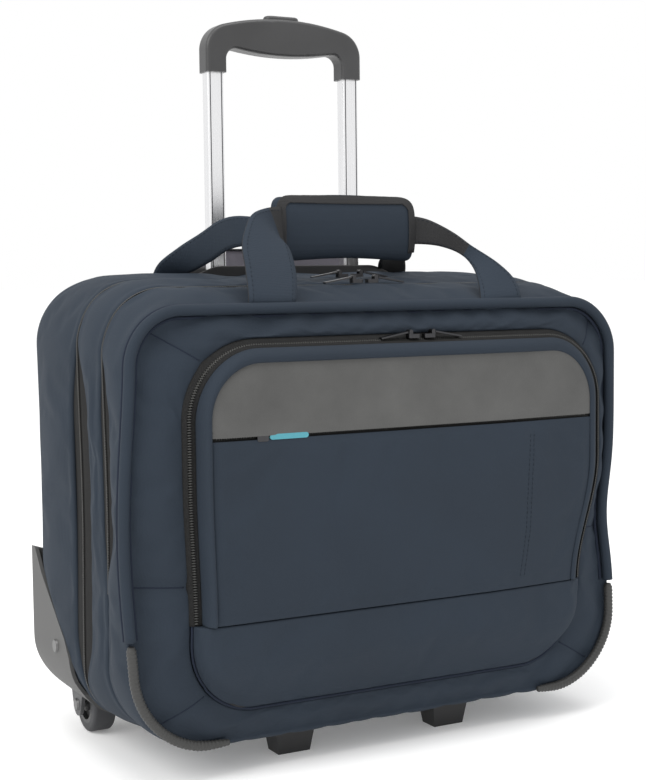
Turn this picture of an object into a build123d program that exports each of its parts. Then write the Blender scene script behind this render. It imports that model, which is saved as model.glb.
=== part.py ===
"""Rolling laptop case: a soft three-section bag on two wheels, with a telescopic trolley handle.

Millimetres. X is the width, -Y the front, +Y the back and +Z up. The case is drawn with y = 0 on
the main zip. Each finished piece is saved moved, so that the origin of the files is on the floor
under the middle of the case's bounding box.
"""
import os

from build123d import *

# ---- driving dimensions -------------------------------------------------------------------------
FACE_Y = -128.0             # face of the front pocket
GUARD_BACK_Y = 118.0        # back of the corner guards
CENTRE_Y = (FACE_Y + GUARD_BACK_Y) / 2
CASE_HALF = 212.0           # half width of the fabric body
CASE_BOTTOM = 24.0
CASE_TOP = 364.0            # top of the rear section
LID_TOP = 346.0             # top at the front seam
FRONT_Y = -101.0            # front panel
LID_SEAM_Y = -56.0          # zip between the front lid and the middle section
MAIN_SEAM_Y = 0.0           # zip between the middle and the rear section
REAR_Y = 110.0              # back panel of the rear section
WALL = 3.0                  # padded fabric wall
BOTTOM_RADIUS = 60.0        # lower corners at the front, seen from the front
REAR_BOTTOM_RADIUS = 44.0   # the same corners from the main zip back
BACK_BOTTOM_RADIUS = 52.0   # lower back edge, seen from the side
TOP_RADIUS = 50.0
LID_TOP_RADIUS = 42.0
REAR_TOP_RADIUS = 14.0
HINGE_Z = 117.5             # fold line of the lid and of the pocket flap
BODY_GAP = 0.5              # air between pieces that part from each other

WHEEL_RADIUS = 23.0
WHEEL_Y = 58.0
WHEEL_INNER_X = 173.5
WHEEL_WIDTH = 19.0
AXLE_RADIUS = 3.0

TUBE_X = 64.0               # centre of each trolley tube
TUBE_Y = 71.0
TUBE_WALL = 1.2
SLIDE_GAP = 0.3             # between one tube stage and the next, each side
TUBE_CORNER = 2.4
INNER_TUBE = (15.0, 12.0)
STAGE_STEP = TUBE_WALL + SLIDE_GAP
MIDDLE_TUBE = tuple(size + 2 * STAGE_STEP for size in INNER_TUBE)
OUTER_TUBE = tuple(size + 4 * STAGE_STEP for size in INNER_TUBE)
TUBE_PLACES = ((-TUBE_X, TUBE_Y), (TUBE_X, TUBE_Y))
OUTER_TUBE_Z = (46.0, 338.0)
MIDDLE_TUBE_Z = (50.0, 345.0)
INNER_TUBE_Z = (243.0, 558.0)
SOCKET_BOTTOM = 536.0
GRIP_HALF = 73.0
GRIP_UNDERSIDE = 552.0
GRIP_TOP = 583.0
GRIP_SEAM_Z = 566.0
GRIP_HALF_DEPTH = 9.5
GRIP_EDGE = 3.5             # rounding of the grip's long edges

STRAP_THICKNESS = 3.0

os.makedirs("parts", exist_ok=True)


def save(part, name):
    """Centre a finished piece on the bounding box, label it and write it to its own file."""
    centred = Pos(0, -CENTRE_Y, 0) * part
    centred.label = name
    export_step(centred, f"parts/{name}.step")


def box_between(low, high):
    """A plain box given by its lowest and highest corners; it joins no builder by itself."""
    size = [b - a for a, b in zip(low, high)]
    centre = [(a + b) / 2 for a, b in zip(low, high)]
    return Pos(*centre) * Box(*size, mode=Mode.PRIVATE)


def side_box(side, x_range, y_range, z_range):
    """A box on the left (-1) or right (1) half, given by distances from the middle."""
    low_x, high_x = sorted((side * x_range[0], side * x_range[1]))
    return box_between((low_x, y_range[0], z_range[0]), (high_x, y_range[1], z_range[1]))


def front_plane(y):
    """A drawing plane at depth y that faces forward: its x is X and its y is Z."""
    return Plane.XZ.offset(-y)


# ---- the shape of the soft body ------------------------------------------------------------------
LID_SEAM_TOP = CASE_TOP - 5.0


def case_top(y):
    """Height of the crowned top: it climbs from the front seam to the lid zip and on to the rear."""
    if y <= LID_SEAM_Y:
        return LID_TOP + (LID_SEAM_TOP - LID_TOP) * (y - FRONT_Y) / (LID_SEAM_Y - FRONT_Y)
    if y <= MAIN_SEAM_Y:
        return LID_SEAM_TOP + (CASE_TOP - LID_SEAM_TOP) * (y - LID_SEAM_Y) / (MAIN_SEAM_Y - LID_SEAM_Y)
    return CASE_TOP


def case_outline(y, inset=0.0):
    """The rounded outline at depth y, drawn a distance inset inside the outer face."""
    top_radius = LID_TOP_RADIUS if y <= FRONT_Y + WALL else TOP_RADIUS
    back_share = min(max((y - LID_SEAM_Y) / (MAIN_SEAM_Y - LID_SEAM_Y), 0), 1)
    bottom_radius = BOTTOM_RADIUS + (REAR_BOTTOM_RADIUS - BOTTOM_RADIUS) * back_share
    top = case_top(y) - inset
    bottom = CASE_BOTTOM + inset
    with BuildSketch(front_plane(y)) as outline:
        with Locations((0, (top + bottom) / 2)):
            Rectangle(2 * (CASE_HALF - inset), top - bottom)
        fillet(outline.vertices().group_by(Axis.Y)[0], bottom_radius - inset)
        fillet(outline.vertices().group_by(Axis.Y)[-1], top_radius - inset)
    return outline.sketch.face()


def section(y_front, y_back, inset=0.0):
    """A solid slice of the body between two depths."""
    with BuildPart() as block:
        loft([case_outline(y_front, inset), case_outline(y_back, inset)])
    return block.part


def rear_block(inset=0.0, y_front=MAIN_SEAM_Y + BODY_GAP, y_back=REAR_Y):
    """The rear section as a solid: its lower back edge is rounded so that it clears the floor."""
    low = CASE_BOTTOM + inset
    high = CASE_TOP - inset
    with BuildPart() as block:
        extrude(case_outline(max(y_front, MAIN_SEAM_Y), inset), amount=-(y_back - MAIN_SEAM_Y))
        with BuildSketch(Plane.YZ) as side:
            with Locations(((y_front + y_back) / 2, (low + high) / 2)):
                Rectangle(y_back - y_front, high - low)
            back_corners = side.vertices().group_by(Axis.X)[-1].sort_by(Axis.Y)
            fillet(back_corners[0], BACK_BOTTOM_RADIUS - inset)
            fillet(back_corners[-1], REAR_TOP_RADIUS - inset)
        extrude(amount=CASE_HALF + BOTTOM_RADIUS, both=True, mode=Mode.INTERSECT)
    return block.part


# ---- rear section: shell, boards and trolley well ------------------------------------------------
WELL_HALF = 90.0
WELL_Y = (52.0, 90.0)
WELL_MIDDLE_Y = sum(WELL_Y) / 2
WELL_FLOOR = 330.0
WELL_WALL = 2.0
HOUSING_X = (167.0, 199.0)
HOUSING_Y = (28.0, 88.0)
HOUSING_TOP = 56.0
TAPE_BACK_Y = 12.0
TAPE_BOTTOM = 36.0
BOARD_Y = (46.0, 49.0)
BOARD_SIZE = (370.0, 292.0)
BOARD_MIDDLE_Z = 205.0
BOARD_RADIUS = 30.0
LIP_Y = (46.0, 96.0)
LIP_TOP = 377.0
LIP_FOOT_HALF = 95.0
LIP_TOP_HALF = 86.0
LIP_EDGE = 8.0              # how far the lip reaches in over the well
PANEL_THICKNESS = 4.0
PANEL_HALF = 85.0
PANEL_RADIUS = 22.0
PANEL_Z = (110.0, 392.0)

rear_hollow = rear_block(WALL, y_back=REAR_Y - WALL)
well_hole = box_between(
    (-WELL_HALF - WELL_WALL, WELL_Y[0] - WELL_WALL, WELL_FLOOR - WELL_WALL),
    (WELL_HALF + WELL_WALL, WELL_Y[1] + WELL_WALL, CASE_TOP + 1),
)
tape_zone = box_between((-CASE_HALF, MAIN_SEAM_Y, TAPE_BOTTOM), (CASE_HALF, TAPE_BACK_Y, CASE_TOP))
wheel_arches = [side_box(side, HOUSING_X, HOUSING_Y, (0, HOUSING_TOP)) for side in (-1, 1)]

with BuildPart() as rear_shell:
    add(rear_block())
    add(rear_hollow, mode=Mode.SUBTRACT)
    add(well_hole, mode=Mode.SUBTRACT)
    add(tape_zone, mode=Mode.SUBTRACT)
    add(wheel_arches, mode=Mode.SUBTRACT)
save(rear_shell.part, "rear_shell")

with BuildPart() as main_zip_tape:
    add(rear_block())
    add(rear_hollow, mode=Mode.SUBTRACT)
    add(tape_zone, mode=Mode.INTERSECT)
save(main_zip_tape.part, "main_zip_tape")

with BuildPart() as back_board:
    with BuildSketch(front_plane(BOARD_Y[1])):
        with Locations((0, BOARD_MIDDLE_Z)):
            RectangleRounded(*BOARD_SIZE, BOARD_RADIUS)
    extrude(amount=BOARD_Y[1] - BOARD_Y[0])
save(back_board.part, "back_board")

with BuildPart() as well_tray:
    with BuildSketch(Plane.XY.offset(WELL_FLOOR - WELL_WALL)):
        with Locations((0, WELL_MIDDLE_Y)):
            Rectangle(2 * (WELL_HALF + WELL_WALL), WELL_Y[1] - WELL_Y[0] + 2 * WELL_WALL)
    extrude(amount=CASE_TOP - WELL_FLOOR + WELL_WALL)
    with BuildSketch(Plane.XY.offset(WELL_FLOOR)):
        with Locations((0, WELL_MIDDLE_Y)):
            Rectangle(2 * WELL_HALF, WELL_Y[1] - WELL_Y[0])
    extrude(amount=CASE_TOP - WELL_FLOOR, mode=Mode.SUBTRACT)
    with BuildSketch(Plane.XY.offset(WELL_FLOOR - WELL_WALL)):
        with Locations(*TUBE_PLACES):
            Rectangle(*OUTER_TUBE)
    extrude(amount=WELL_WALL, mode=Mode.SUBTRACT)
save(well_tray.part, "well_tray")

with BuildPart() as well_lip:
    with BuildSketch(front_plane(LIP_Y[1])):
        with BuildLine():
            Polyline((-LIP_FOOT_HALF, CASE_TOP), (-LIP_TOP_HALF, LIP_TOP), (LIP_TOP_HALF, LIP_TOP),
                     (LIP_FOOT_HALF, CASE_TOP), close=True)
        make_face()
    extrude(amount=LIP_Y[1] - LIP_Y[0])
    with BuildSketch(Plane.XY.offset(CASE_TOP)):
        with Locations((0, WELL_MIDDLE_Y)):
            Rectangle(2 * (WELL_HALF - LIP_EDGE), WELL_Y[1] - WELL_Y[0])
    extrude(amount=LIP_TOP - CASE_TOP, mode=Mode.SUBTRACT)
save(well_lip.part, "well_lip")

with BuildPart() as rear_panel:
    with BuildSketch(front_plane(REAR_Y + PANEL_THICKNESS)):
        with Locations((0, sum(PANEL_Z) / 2)):
            RectangleRounded(2 * PANEL_HALF, PANEL_Z[1] - PANEL_Z[0], PANEL_RADIUS)
    extrude(amount=PANEL_THICKNESS)
save(rear_panel.part, "rear_panel")

# ---- corner guards, wheel housings, axles and wheels ---------------------------------------------
GUARD_WALL = 3.0
HOUSING_WALL = 3.0
GUARD_TIP_Z = 148.0
OUTSIDE = 10.0              # how far cutting shapes reach past the body
# the guard's edge seen from the side, as (Y, Z), from its tip down to the zip
GUARD_SIDE_EDGE = ((112, GUARD_TIP_Z), (93, 126), (39, 83), (27, 68), (24, 50), (16, 42), (16, OUTSIDE))
# the same edge seen from the back, as (distance from the middle, Z)
GUARD_BACK_EDGE = ((204, 142), (164, 100), (142, 60), (142, OUTSIDE))
SCREW_Y = 59.0
SCREW_Z = 73.0
SCREW_RADIUS = 2.0
SCREW_HEAD_RADIUS = 5.5
SCREW_HEAD_HEIGHT = 1.6
SCREW_HEAD_TAPER = 20       # degrees
HOUSING_BOTTOM = 27.0
CHEEK_TOP_HALF = 20.0       # the housing's cheeks, measured from the axle
CHEEK_FOOT_HALF = 8.5
CHEEK_BOSS_RADIUS = 9.0
AXLE_HEAD_RADIUS = 5.0
AXLE_HEAD_HEIGHT = 1.6
AXLE_HEAD_TAPER = 25        # degrees

guard_skin = rear_block(-GUARD_WALL, y_back=GUARD_BACK_Y)
guard_back = GUARD_BACK_Y + 2
guard_half = CASE_HALF + OUTSIDE
for side, name in ((-1, "left"), (1, "right")):
    with BuildPart() as corner_guard:
        # seen from the side, a long diagonal from the tip at the back down to the zip
        with BuildSketch(Plane.YZ):
            with BuildLine():
                Polyline((guard_back, GUARD_TIP_Z), *GUARD_SIDE_EDGE, (guard_back, OUTSIDE), close=True)
            make_face()
        extrude(amount=side * guard_half)
        # seen from the back, the same diagonal running towards the middle
        with BuildSketch(front_plane(guard_back)):
            with BuildLine():
                Polyline((side * guard_half, GUARD_TIP_Z), *[(side * x, z) for x, z in GUARD_BACK_EDGE],
                         (side * guard_half, OUTSIDE), close=True)
            make_face()
        extrude(amount=guard_back, mode=Mode.INTERSECT)
        add(guard_skin, mode=Mode.INTERSECT)
        add(rear_block(), mode=Mode.SUBTRACT)
        add(wheel_arches, mode=Mode.SUBTRACT)
        with Locations(Location((side * (CASE_HALF + GUARD_WALL), SCREW_Y, SCREW_Z), (0, 90, 0))):
            Cylinder(SCREW_RADIUS + 0.1, 4 * GUARD_WALL, mode=Mode.SUBTRACT)
    save(corner_guard.part, f"corner_guard_{name}")

with BuildPart() as guard_screws:
    for side in (-1, 1):
        face_x = side * (CASE_HALF + GUARD_WALL)
        with BuildSketch(Plane.YZ.offset(face_x)):
            with Locations((SCREW_Y, SCREW_Z)):
                Circle(SCREW_HEAD_RADIUS)
        extrude(amount=side * SCREW_HEAD_HEIGHT, taper=SCREW_HEAD_TAPER)
        with BuildSketch(Plane.YZ.offset(face_x)):
            with Locations((SCREW_Y, SCREW_Z)):
                Circle(SCREW_RADIUS)
        extrude(amount=-side * GUARD_WALL)
save(guard_screws.part, "guard_screws")

cheek_foot_z = WHEEL_RADIUS - AXLE_RADIUS
with BuildPart() as wheel_housings:
    add(box_between((HOUSING_X[0], HOUSING_Y[0], HOUSING_BOTTOM), (HOUSING_X[1], HOUSING_Y[1], HOUSING_TOP)))
    add(guard_skin, mode=Mode.INTERSECT)
    # two cheeks that come down round the axle
    with BuildSketch(Plane.YZ.offset(HOUSING_X[0])):
        with BuildLine():
            Polyline((WHEEL_Y - CHEEK_TOP_HALF, HOUSING_TOP), (WHEEL_Y - CHEEK_FOOT_HALF, cheek_foot_z),
                     (WHEEL_Y + CHEEK_FOOT_HALF, cheek_foot_z), (WHEEL_Y + CHEEK_TOP_HALF, HOUSING_TOP),
                     close=True)
        make_face()
        with Locations((WHEEL_Y, WHEEL_RADIUS)):
            Circle(CHEEK_BOSS_RADIUS)
    extrude(amount=HOUSING_X[1] - HOUSING_X[0])
    add(box_between((HOUSING_X[0] + HOUSING_WALL, HOUSING_Y[0] + HOUSING_WALL, 0),
                    (HOUSING_X[1] - HOUSING_WALL, HOUSING_Y[1] - HOUSING_WALL, HOUSING_TOP - HOUSING_WALL)),
        mode=Mode.SUBTRACT)
    with BuildSketch(Plane.YZ.offset(HOUSING_X[0])):
        with Locations((WHEEL_Y, WHEEL_RADIUS)):
            Circle(AXLE_RADIUS)
    extrude(amount=HOUSING_X[1] - HOUSING_X[0], mode=Mode.SUBTRACT)
    mirror(about=Plane.YZ)
save(wheel_housings.part, "wheel_housings")

with BuildPart() as axles:
    with BuildSketch(Plane.YZ.offset(HOUSING_X[0])):
        with Locations((WHEEL_Y, WHEEL_RADIUS)):
            Circle(AXLE_RADIUS)
    extrude(amount=HOUSING_X[1] - HOUSING_X[0])
    with BuildSketch(Plane.YZ.offset(HOUSING_X[1])):
        with Locations((WHEEL_Y, WHEEL_RADIUS)):
            Circle(AXLE_HEAD_RADIUS)
    extrude(amount=AXLE_HEAD_HEIGHT, taper=AXLE_HEAD_TAPER)
    mirror(about=Plane.YZ)
save(axles.part, "axles")

HUB_RADIUS = 16.0
AXLE_CLEARANCE = 0.05
TREAD_ROUNDING = 3.0
HUB_RIM = 3.0               # rim and boss left standing round the hub's dished face
HUB_DISH = 4.0
for side, name in ((-1, "left"), (1, "right")):
    wheel_plane = Plane(origin=(side * WHEEL_INNER_X, WHEEL_Y, WHEEL_RADIUS), z_dir=(side, 0, 0))
    with BuildPart() as wheel_tyre:
        with BuildSketch(wheel_plane):
            Circle(WHEEL_RADIUS)
            Circle(HUB_RADIUS, mode=Mode.SUBTRACT)
        extrude(amount=WHEEL_WIDTH)
        tread_edges = wheel_tyre.edges().filter_by(GeomType.CIRCLE).filter_by(
            lambda edge: edge.radius > HUB_RADIUS + 1)
        fillet(tread_edges, TREAD_ROUNDING)
    save(wheel_tyre.part, f"wheel_tyre_{name}")
    with BuildPart() as wheel_hub:
        with BuildSketch(wheel_plane):
            Circle(HUB_RADIUS - AXLE_CLEARANCE)
            Circle(AXLE_RADIUS + AXLE_CLEARANCE, mode=Mode.SUBTRACT)
        extrude(amount=WHEEL_WIDTH)
        # a dished outer face round the axle
        with BuildSketch(wheel_plane.offset(WHEEL_WIDTH)):
            Circle(HUB_RADIUS - HUB_RIM)
            Circle(AXLE_RADIUS + HUB_RIM, mode=Mode.SUBTRACT)
        extrude(amount=-HUB_DISH, mode=Mode.SUBTRACT)
    save(wheel_hub.part, f"wheel_hub_{name}")

# ---- telescopic trolley --------------------------------------------------------------------------
COLLAR_WALL = 1.5
OUTER_COLLAR_HEIGHT = 6.0
MIDDLE_COLLAR_HEIGHT = 5.0
BRACKET_BASE = 4.0
BRACKET_HEIGHT = 22.0
BRACKET_MARGIN = 5.0        # round the tubes at the front and back
BRACKET_END = 19.0          # past each tube's centre
BRACKET_RADIUS = 5.0


def tube_pair(size, z_range):
    """Both tubes of one stage: rounded rectangular tube, open at both ends."""
    hollow = [side - 2 * TUBE_WALL for side in size]
    with BuildPart() as pair:
        with BuildSketch(Plane.XY.offset(z_range[0])):
            with Locations(*TUBE_PLACES):
                RectangleRounded(size[0], size[1], TUBE_CORNER)
                RectangleRounded(hollow[0], hollow[1], TUBE_CORNER - TUBE_WALL, mode=Mode.SUBTRACT)
        extrude(amount=z_range[1] - z_range[0])
    return pair.part


def collar_pair(tube, next_tube, bottom, height):
    """Plastic collars on the mouths of one stage, which guide the next stage."""
    with BuildPart() as pair:
        with BuildSketch(Plane.XY.offset(bottom)):
            with Locations(*TUBE_PLACES):
                RectangleRounded(*[side + 2 * COLLAR_WALL for side in tube], TUBE_CORNER)
                RectangleRounded(*[side + 2 * SLIDE_GAP for side in next_tube], TUBE_CORNER, mode=Mode.SUBTRACT)
        extrude(amount=height)
    return pair.part


save(tube_pair(OUTER_TUBE, OUTER_TUBE_Z), "outer_tubes")
save(tube_pair(MIDDLE_TUBE, MIDDLE_TUBE_Z), "middle_tubes")
save(tube_pair(INNER_TUBE, INNER_TUBE_Z), "inner_tubes")
save(collar_pair(OUTER_TUBE, MIDDLE_TUBE, OUTER_TUBE_Z[1], OUTER_COLLAR_HEIGHT), "outer_collars")
save(collar_pair(MIDDLE_TUBE, INNER_TUBE, MIDDLE_TUBE_Z[1], MIDDLE_COLLAR_HEIGHT), "middle_collars")

with BuildPart() as tube_bracket:
    with BuildSketch(Plane.XY.offset(OUTER_TUBE_Z[0] - BRACKET_BASE)):
        with Locations((0, TUBE_Y)):
            RectangleRounded(2 * (TUBE_X + BRACKET_END), OUTER_TUBE[1] + 2 * BRACKET_MARGIN, BRACKET_RADIUS)
    extrude(amount=BRACKET_HEIGHT)
    with BuildSketch(Plane.XY.offset(OUTER_TUBE_Z[0])):
        with Locations(*TUBE_PLACES):
            RectangleRounded(*OUTER_TUBE, TUBE_CORNER)
    extrude(amount=BRACKET_HEIGHT, mode=Mode.SUBTRACT)
save(tube_bracket.part, "tube_bracket")

PLUG_GAP = 0.2
PLUG_CORNER = 1.5
PLUG_HEIGHT = 20.0
PLUG_SIZE = [side - 2 * TUBE_WALL - 2 * PLUG_GAP for side in INNER_TUBE]
with BuildPart() as lock_plugs:
    with BuildSketch(Plane.XY.offset(INNER_TUBE_Z[0])):
        with Locations(*TUBE_PLACES):
            RectangleRounded(*PLUG_SIZE, PLUG_CORNER)
    extrude(amount=PLUG_HEIGHT)
save(lock_plugs.part, "lock_plugs")

# ---- trolley grip and its release button ---------------------------------------------------------
SOCKET_INNER_X = 54.5
CROWN = 12.0                # how far the top falls from its middle to its sides
BELLY = 6.0                 # how far the underside hangs down in its middle
SHOULDER_RADIUS = 22.0
ELBOW_RADIUS = 9.0
CAVITY_HALF = 67.0
CAVITY_HALF_DEPTH = 5.5
CAVITY_Z = (558.5, 567.2)
BAR_HALF = 66.5
BAR_HALF_DEPTH = 4.0
BUTTON_HALF = 16.0
BUTTON_HALF_DEPTH = 6.0
BUTTON_TOP = 586.0
BUTTON_GAP = 0.3
BUTTON_ROUNDING = 2.5
BAR_Z = (563.0, 566.5)
ROD_RADIUS = 2.0
ROD_BOTTOM = 268.5
SPRING_RADIUS = 3.4
SPRING_WIRE = 0.5
SPRING_FLOOR = 554.5
SPRING_TURNS = 4
SPRING_GAP = 0.2            # above and below the spring

with BuildPart() as grip_body:
    with BuildSketch(front_plane(TUBE_Y)) as grip_outline:
        with BuildLine():
            shoulder = (GRIP_HALF, GRIP_TOP - CROWN)
            elbow = (SOCKET_INNER_X, GRIP_UNDERSIDE + BELLY)
            ThreePointArc((-shoulder[0], shoulder[1]), (0, GRIP_TOP), shoulder)
            Polyline(shoulder, (GRIP_HALF, SOCKET_BOTTOM), (SOCKET_INNER_X, SOCKET_BOTTOM), elbow)
            ThreePointArc(elbow, (0, GRIP_UNDERSIDE), (-elbow[0], elbow[1]))
            Polyline((-elbow[0], elbow[1]), (-SOCKET_INNER_X, SOCKET_BOTTOM), (-GRIP_HALF, SOCKET_BOTTOM),
                     (-shoulder[0], shoulder[1]))
        make_face()
        fillet(grip_outline.vertices().filter_by(lambda v: abs(v.Y - shoulder[1]) < 1), SHOULDER_RADIUS)
        fillet(grip_outline.vertices().filter_by(lambda v: abs(v.Y - elbow[1]) < 1), ELBOW_RADIUS)
    extrude(amount=GRIP_HALF_DEPTH, both=True)
    long_edges = [edge for face in (grip_body.faces().sort_by(Axis.Y)[0], grip_body.faces().sort_by(Axis.Y)[-1])
                  for edge in face.edges() if edge.center().Z > SOCKET_BOTTOM + 1]
    fillet(long_edges, GRIP_EDGE)
    # the cavity for the button, the release bar and the spring
    add(box_between((-CAVITY_HALF, TUBE_Y - CAVITY_HALF_DEPTH, CAVITY_Z[0]),
                    (CAVITY_HALF, TUBE_Y + CAVITY_HALF_DEPTH, CAVITY_Z[1])), mode=Mode.SUBTRACT)
    with BuildSketch(Plane.XY.offset(SPRING_FLOOR)):
        with Locations((0, TUBE_Y)):
            Circle(SPRING_RADIUS + SPRING_WIRE + BUTTON_GAP)
    extrude(amount=CAVITY_Z[0] - SPRING_FLOOR, mode=Mode.SUBTRACT)
    with BuildSketch(Plane.XY.offset(CAVITY_Z[0])):
        with Locations((0, TUBE_Y)):
            SlotOverall(2 * (BUTTON_HALF + BUTTON_GAP), 2 * (BUTTON_HALF_DEPTH + BUTTON_GAP))
    extrude(amount=BUTTON_TOP - CAVITY_Z[0], mode=Mode.SUBTRACT)
    with BuildSketch(Plane.XY.offset(SOCKET_BOTTOM)):
        with Locations(*TUBE_PLACES):
            RectangleRounded(*INNER_TUBE, TUBE_CORNER)
    extrude(amount=INNER_TUBE_Z[1] - SOCKET_BOTTOM + 1, mode=Mode.SUBTRACT)

for keep, name in ((Keep.TOP, "grip_upper_shell"), (Keep.BOTTOM, "grip_lower_shell")):
    with BuildPart() as grip_shell:
        add(grip_body.part)
        split(bisect_by=Plane.XY.offset(GRIP_SEAM_Z), keep=keep)
    save(grip_shell.part, name)

with BuildPart() as release_button:
    with BuildSketch(Plane.XY.offset(BAR_Z[1])):
        with Locations((0, TUBE_Y)):
            SlotOverall(2 * BUTTON_HALF, 2 * BUTTON_HALF_DEPTH)
    extrude(amount=BUTTON_TOP - BAR_Z[1])
    fillet(release_button.edges().group_by(Axis.Z)[-1], BUTTON_ROUNDING)
save(release_button.part, "release_button")

with BuildPart() as release_bar:
    add(box_between((-BAR_HALF, TUBE_Y - BAR_HALF_DEPTH, BAR_Z[0]), (BAR_HALF, TUBE_Y + BAR_HALF_DEPTH, BAR_Z[1])))
    with BuildSketch(Plane.XY.offset(ROD_BOTTOM)):
        with Locations(*TUBE_PLACES):
            Circle(ROD_RADIUS)
    extrude(amount=BAR_Z[0] - ROD_BOTTOM)
save(release_bar.part, "release_bar")

with BuildPart() as button_spring:
    spring_height = BAR_Z[0] - SPRING_FLOOR - 2 * (SPRING_WIRE + SPRING_GAP)
    with BuildLine():
        coil = Helix(pitch=spring_height / SPRING_TURNS, height=spring_height, radius=SPRING_RADIUS,
                     center=(0, TUBE_Y, SPRING_FLOOR + SPRING_WIRE + SPRING_GAP))
    with BuildSketch(Plane(origin=coil @ 0, z_dir=coil % 0)):
        Circle(SPRING_WIRE)
    sweep()
save(button_spring.part, "button_spring")

# ---- middle section: laptop compartment, fixed lower front and feet ------------------------------
DIVIDER_Y = (-36.0, -30.0)
DIVIDER_SIZE = (370.0, 250.0)
DIVIDER_MIDDLE_Z = 170.0
DIVIDER_RADIUS = 20.0
WEBBING_WIDTH = 25.0
WEBBING_THICKNESS = 3.0
WEBBING_TOP = 310.0
WEBBING_TAIL_Z = 265.0
BUMPER_END_X = 138.0
BAND_BOTTOM = 50.0
BAND_HALF = 177.0
BAND_RADIUS = 55.0
BAND_FULL_Z = 92.0          # above this height the band has nearly its full depth
BAND_EDGE = 4.0             # its depth at the lower edge
PIPING_RADIUS = 4.2
PIPING_Y = FRONT_Y - PIPING_RADIUS - 0.1
PIPING_INSET = 3.0
LID_TAPE_Y = (LID_SEAM_Y + BODY_GAP, -50.0)
LID_TAPE_BOTTOM = 122.0

middle_front_y = LID_SEAM_Y
middle_back_y = MAIN_SEAM_Y - BODY_GAP
lid_tape_zone = box_between((-CASE_HALF, LID_SEAM_Y - 1, LID_TAPE_BOTTOM), (CASE_HALF, LID_TAPE_Y[1], CASE_TOP))
middle_solid = section(middle_front_y, middle_back_y)
middle_hollow = section(middle_front_y, middle_back_y - WALL, WALL)

with BuildPart() as middle_shell:
    add(middle_solid)
    add(middle_hollow, mode=Mode.SUBTRACT)
    add(lid_tape_zone, mode=Mode.SUBTRACT)
save(middle_shell.part, "middle_shell")

with BuildPart() as lid_zip_tape:
    add(middle_solid)
    add(middle_hollow, mode=Mode.SUBTRACT)
    add(lid_tape_zone, mode=Mode.INTERSECT)
save(lid_zip_tape.part, "lid_zip_tape")

front_solid = section(FRONT_Y, LID_SEAM_Y)
front_hollow = section(FRONT_Y + WALL, LID_SEAM_Y, WALL)
below_hinge = box_between((-CASE_HALF, FRONT_Y, 0), (CASE_HALF, LID_SEAM_Y, HINGE_Z - BODY_GAP))
above_hinge = box_between((-CASE_HALF, FRONT_Y, HINGE_Z + BODY_GAP),
                          (CASE_HALF, LID_SEAM_Y - BODY_GAP, CASE_TOP))

with BuildPart() as front_base:
    add(front_solid)
    add(front_hollow, mode=Mode.SUBTRACT)
    add(below_hinge, mode=Mode.INTERSECT)
save(front_base.part, "front_base")

with BuildPart() as lower_band:
    with BuildSketch(front_plane(FRONT_Y)) as band_outline:
        with Locations((0, (BAND_BOTTOM + HINGE_Z - BODY_GAP) / 2)):
            Rectangle(2 * BAND_HALF, HINGE_Z - BODY_GAP - BAND_BOTTOM)
        fillet(band_outline.vertices().group_by(Axis.Y)[0], BAND_RADIUS)
    extrude(amount=FRONT_Y - FACE_Y)
    # the pad thins out towards its lower edge
    with BuildSketch(Plane.YZ):
        with BuildLine():
            Polyline((FRONT_Y, HINGE_Z), (FACE_Y + 1, HINGE_Z), (FACE_Y + BAND_EDGE, BAND_FULL_Z),
                     (FRONT_Y - BAND_EDGE, BAND_BOTTOM), (FRONT_Y, BAND_BOTTOM), close=True)
        make_face()
    extrude(amount=BAND_HALF, both=True, mode=Mode.INTERSECT)
save(lower_band.part, "lower_band")

with BuildPart() as corner_bumpers:
    corner_x = CASE_HALF - PIPING_INSET
    corner_z = CASE_BOTTOM + PIPING_INSET
    corner_radius = BOTTOM_RADIUS - PIPING_INSET
    with BuildLine(front_plane(PIPING_Y)) as corner_line:
        Line((-corner_x, HINGE_Z - BODY_GAP), (-corner_x, corner_z + corner_radius))
        RadiusArc((-corner_x, corner_z + corner_radius), (-corner_x + corner_radius, corner_z), -corner_radius)
        Line((-corner_x + corner_radius, corner_z), (-BUMPER_END_X, corner_z))
    with BuildSketch(Plane(origin=corner_line.line @ 0, z_dir=corner_line.line % 0)):
        Circle(PIPING_RADIUS)
    sweep()
    mirror(about=Plane.YZ)
save(corner_bumpers.part, "corner_bumpers")

FOOT_X = 70.5
FOOT_Y = -67.0
FOOT_SOLE = (27.0, 18.0)
FOOT_TOP = (34.0, 26.0)
FOOT_HOLE_RADIUS = 4.0
FOOT_SCREW_RADIUS = 3.6
FOOT_SCREW_RECESS = 1.0
FOOT_SCREW_DEPTH = 3.0
with BuildPart() as feet:
    for side in (-1, 1):
        with BuildSketch(Plane.XY):
            with Locations((side * FOOT_X, FOOT_Y)):
                Rectangle(*FOOT_SOLE)
        with BuildSketch(Plane.XY.offset(CASE_BOTTOM)):
            with Locations((side * FOOT_X, FOOT_Y)):
                Rectangle(*FOOT_TOP)
        loft()
    for side in (-1, 1):
        with Locations((side * FOOT_X, FOOT_Y, 0)):
            Cylinder(FOOT_HOLE_RADIUS, FOOT_SCREW_DEPTH,
                     align=(Align.CENTER, Align.CENTER, Align.MIN), mode=Mode.SUBTRACT)
save(feet.part, "feet")

with BuildPart() as foot_screws:
    with BuildSketch(Plane.XY.offset(FOOT_SCREW_RECESS)):
        with Locations((-FOOT_X, FOOT_Y), (FOOT_X, FOOT_Y)):
            Circle(FOOT_SCREW_RADIUS)
    extrude(amount=FOOT_SCREW_DEPTH - FOOT_SCREW_RECESS)
save(foot_screws.part, "foot_screws")

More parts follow.
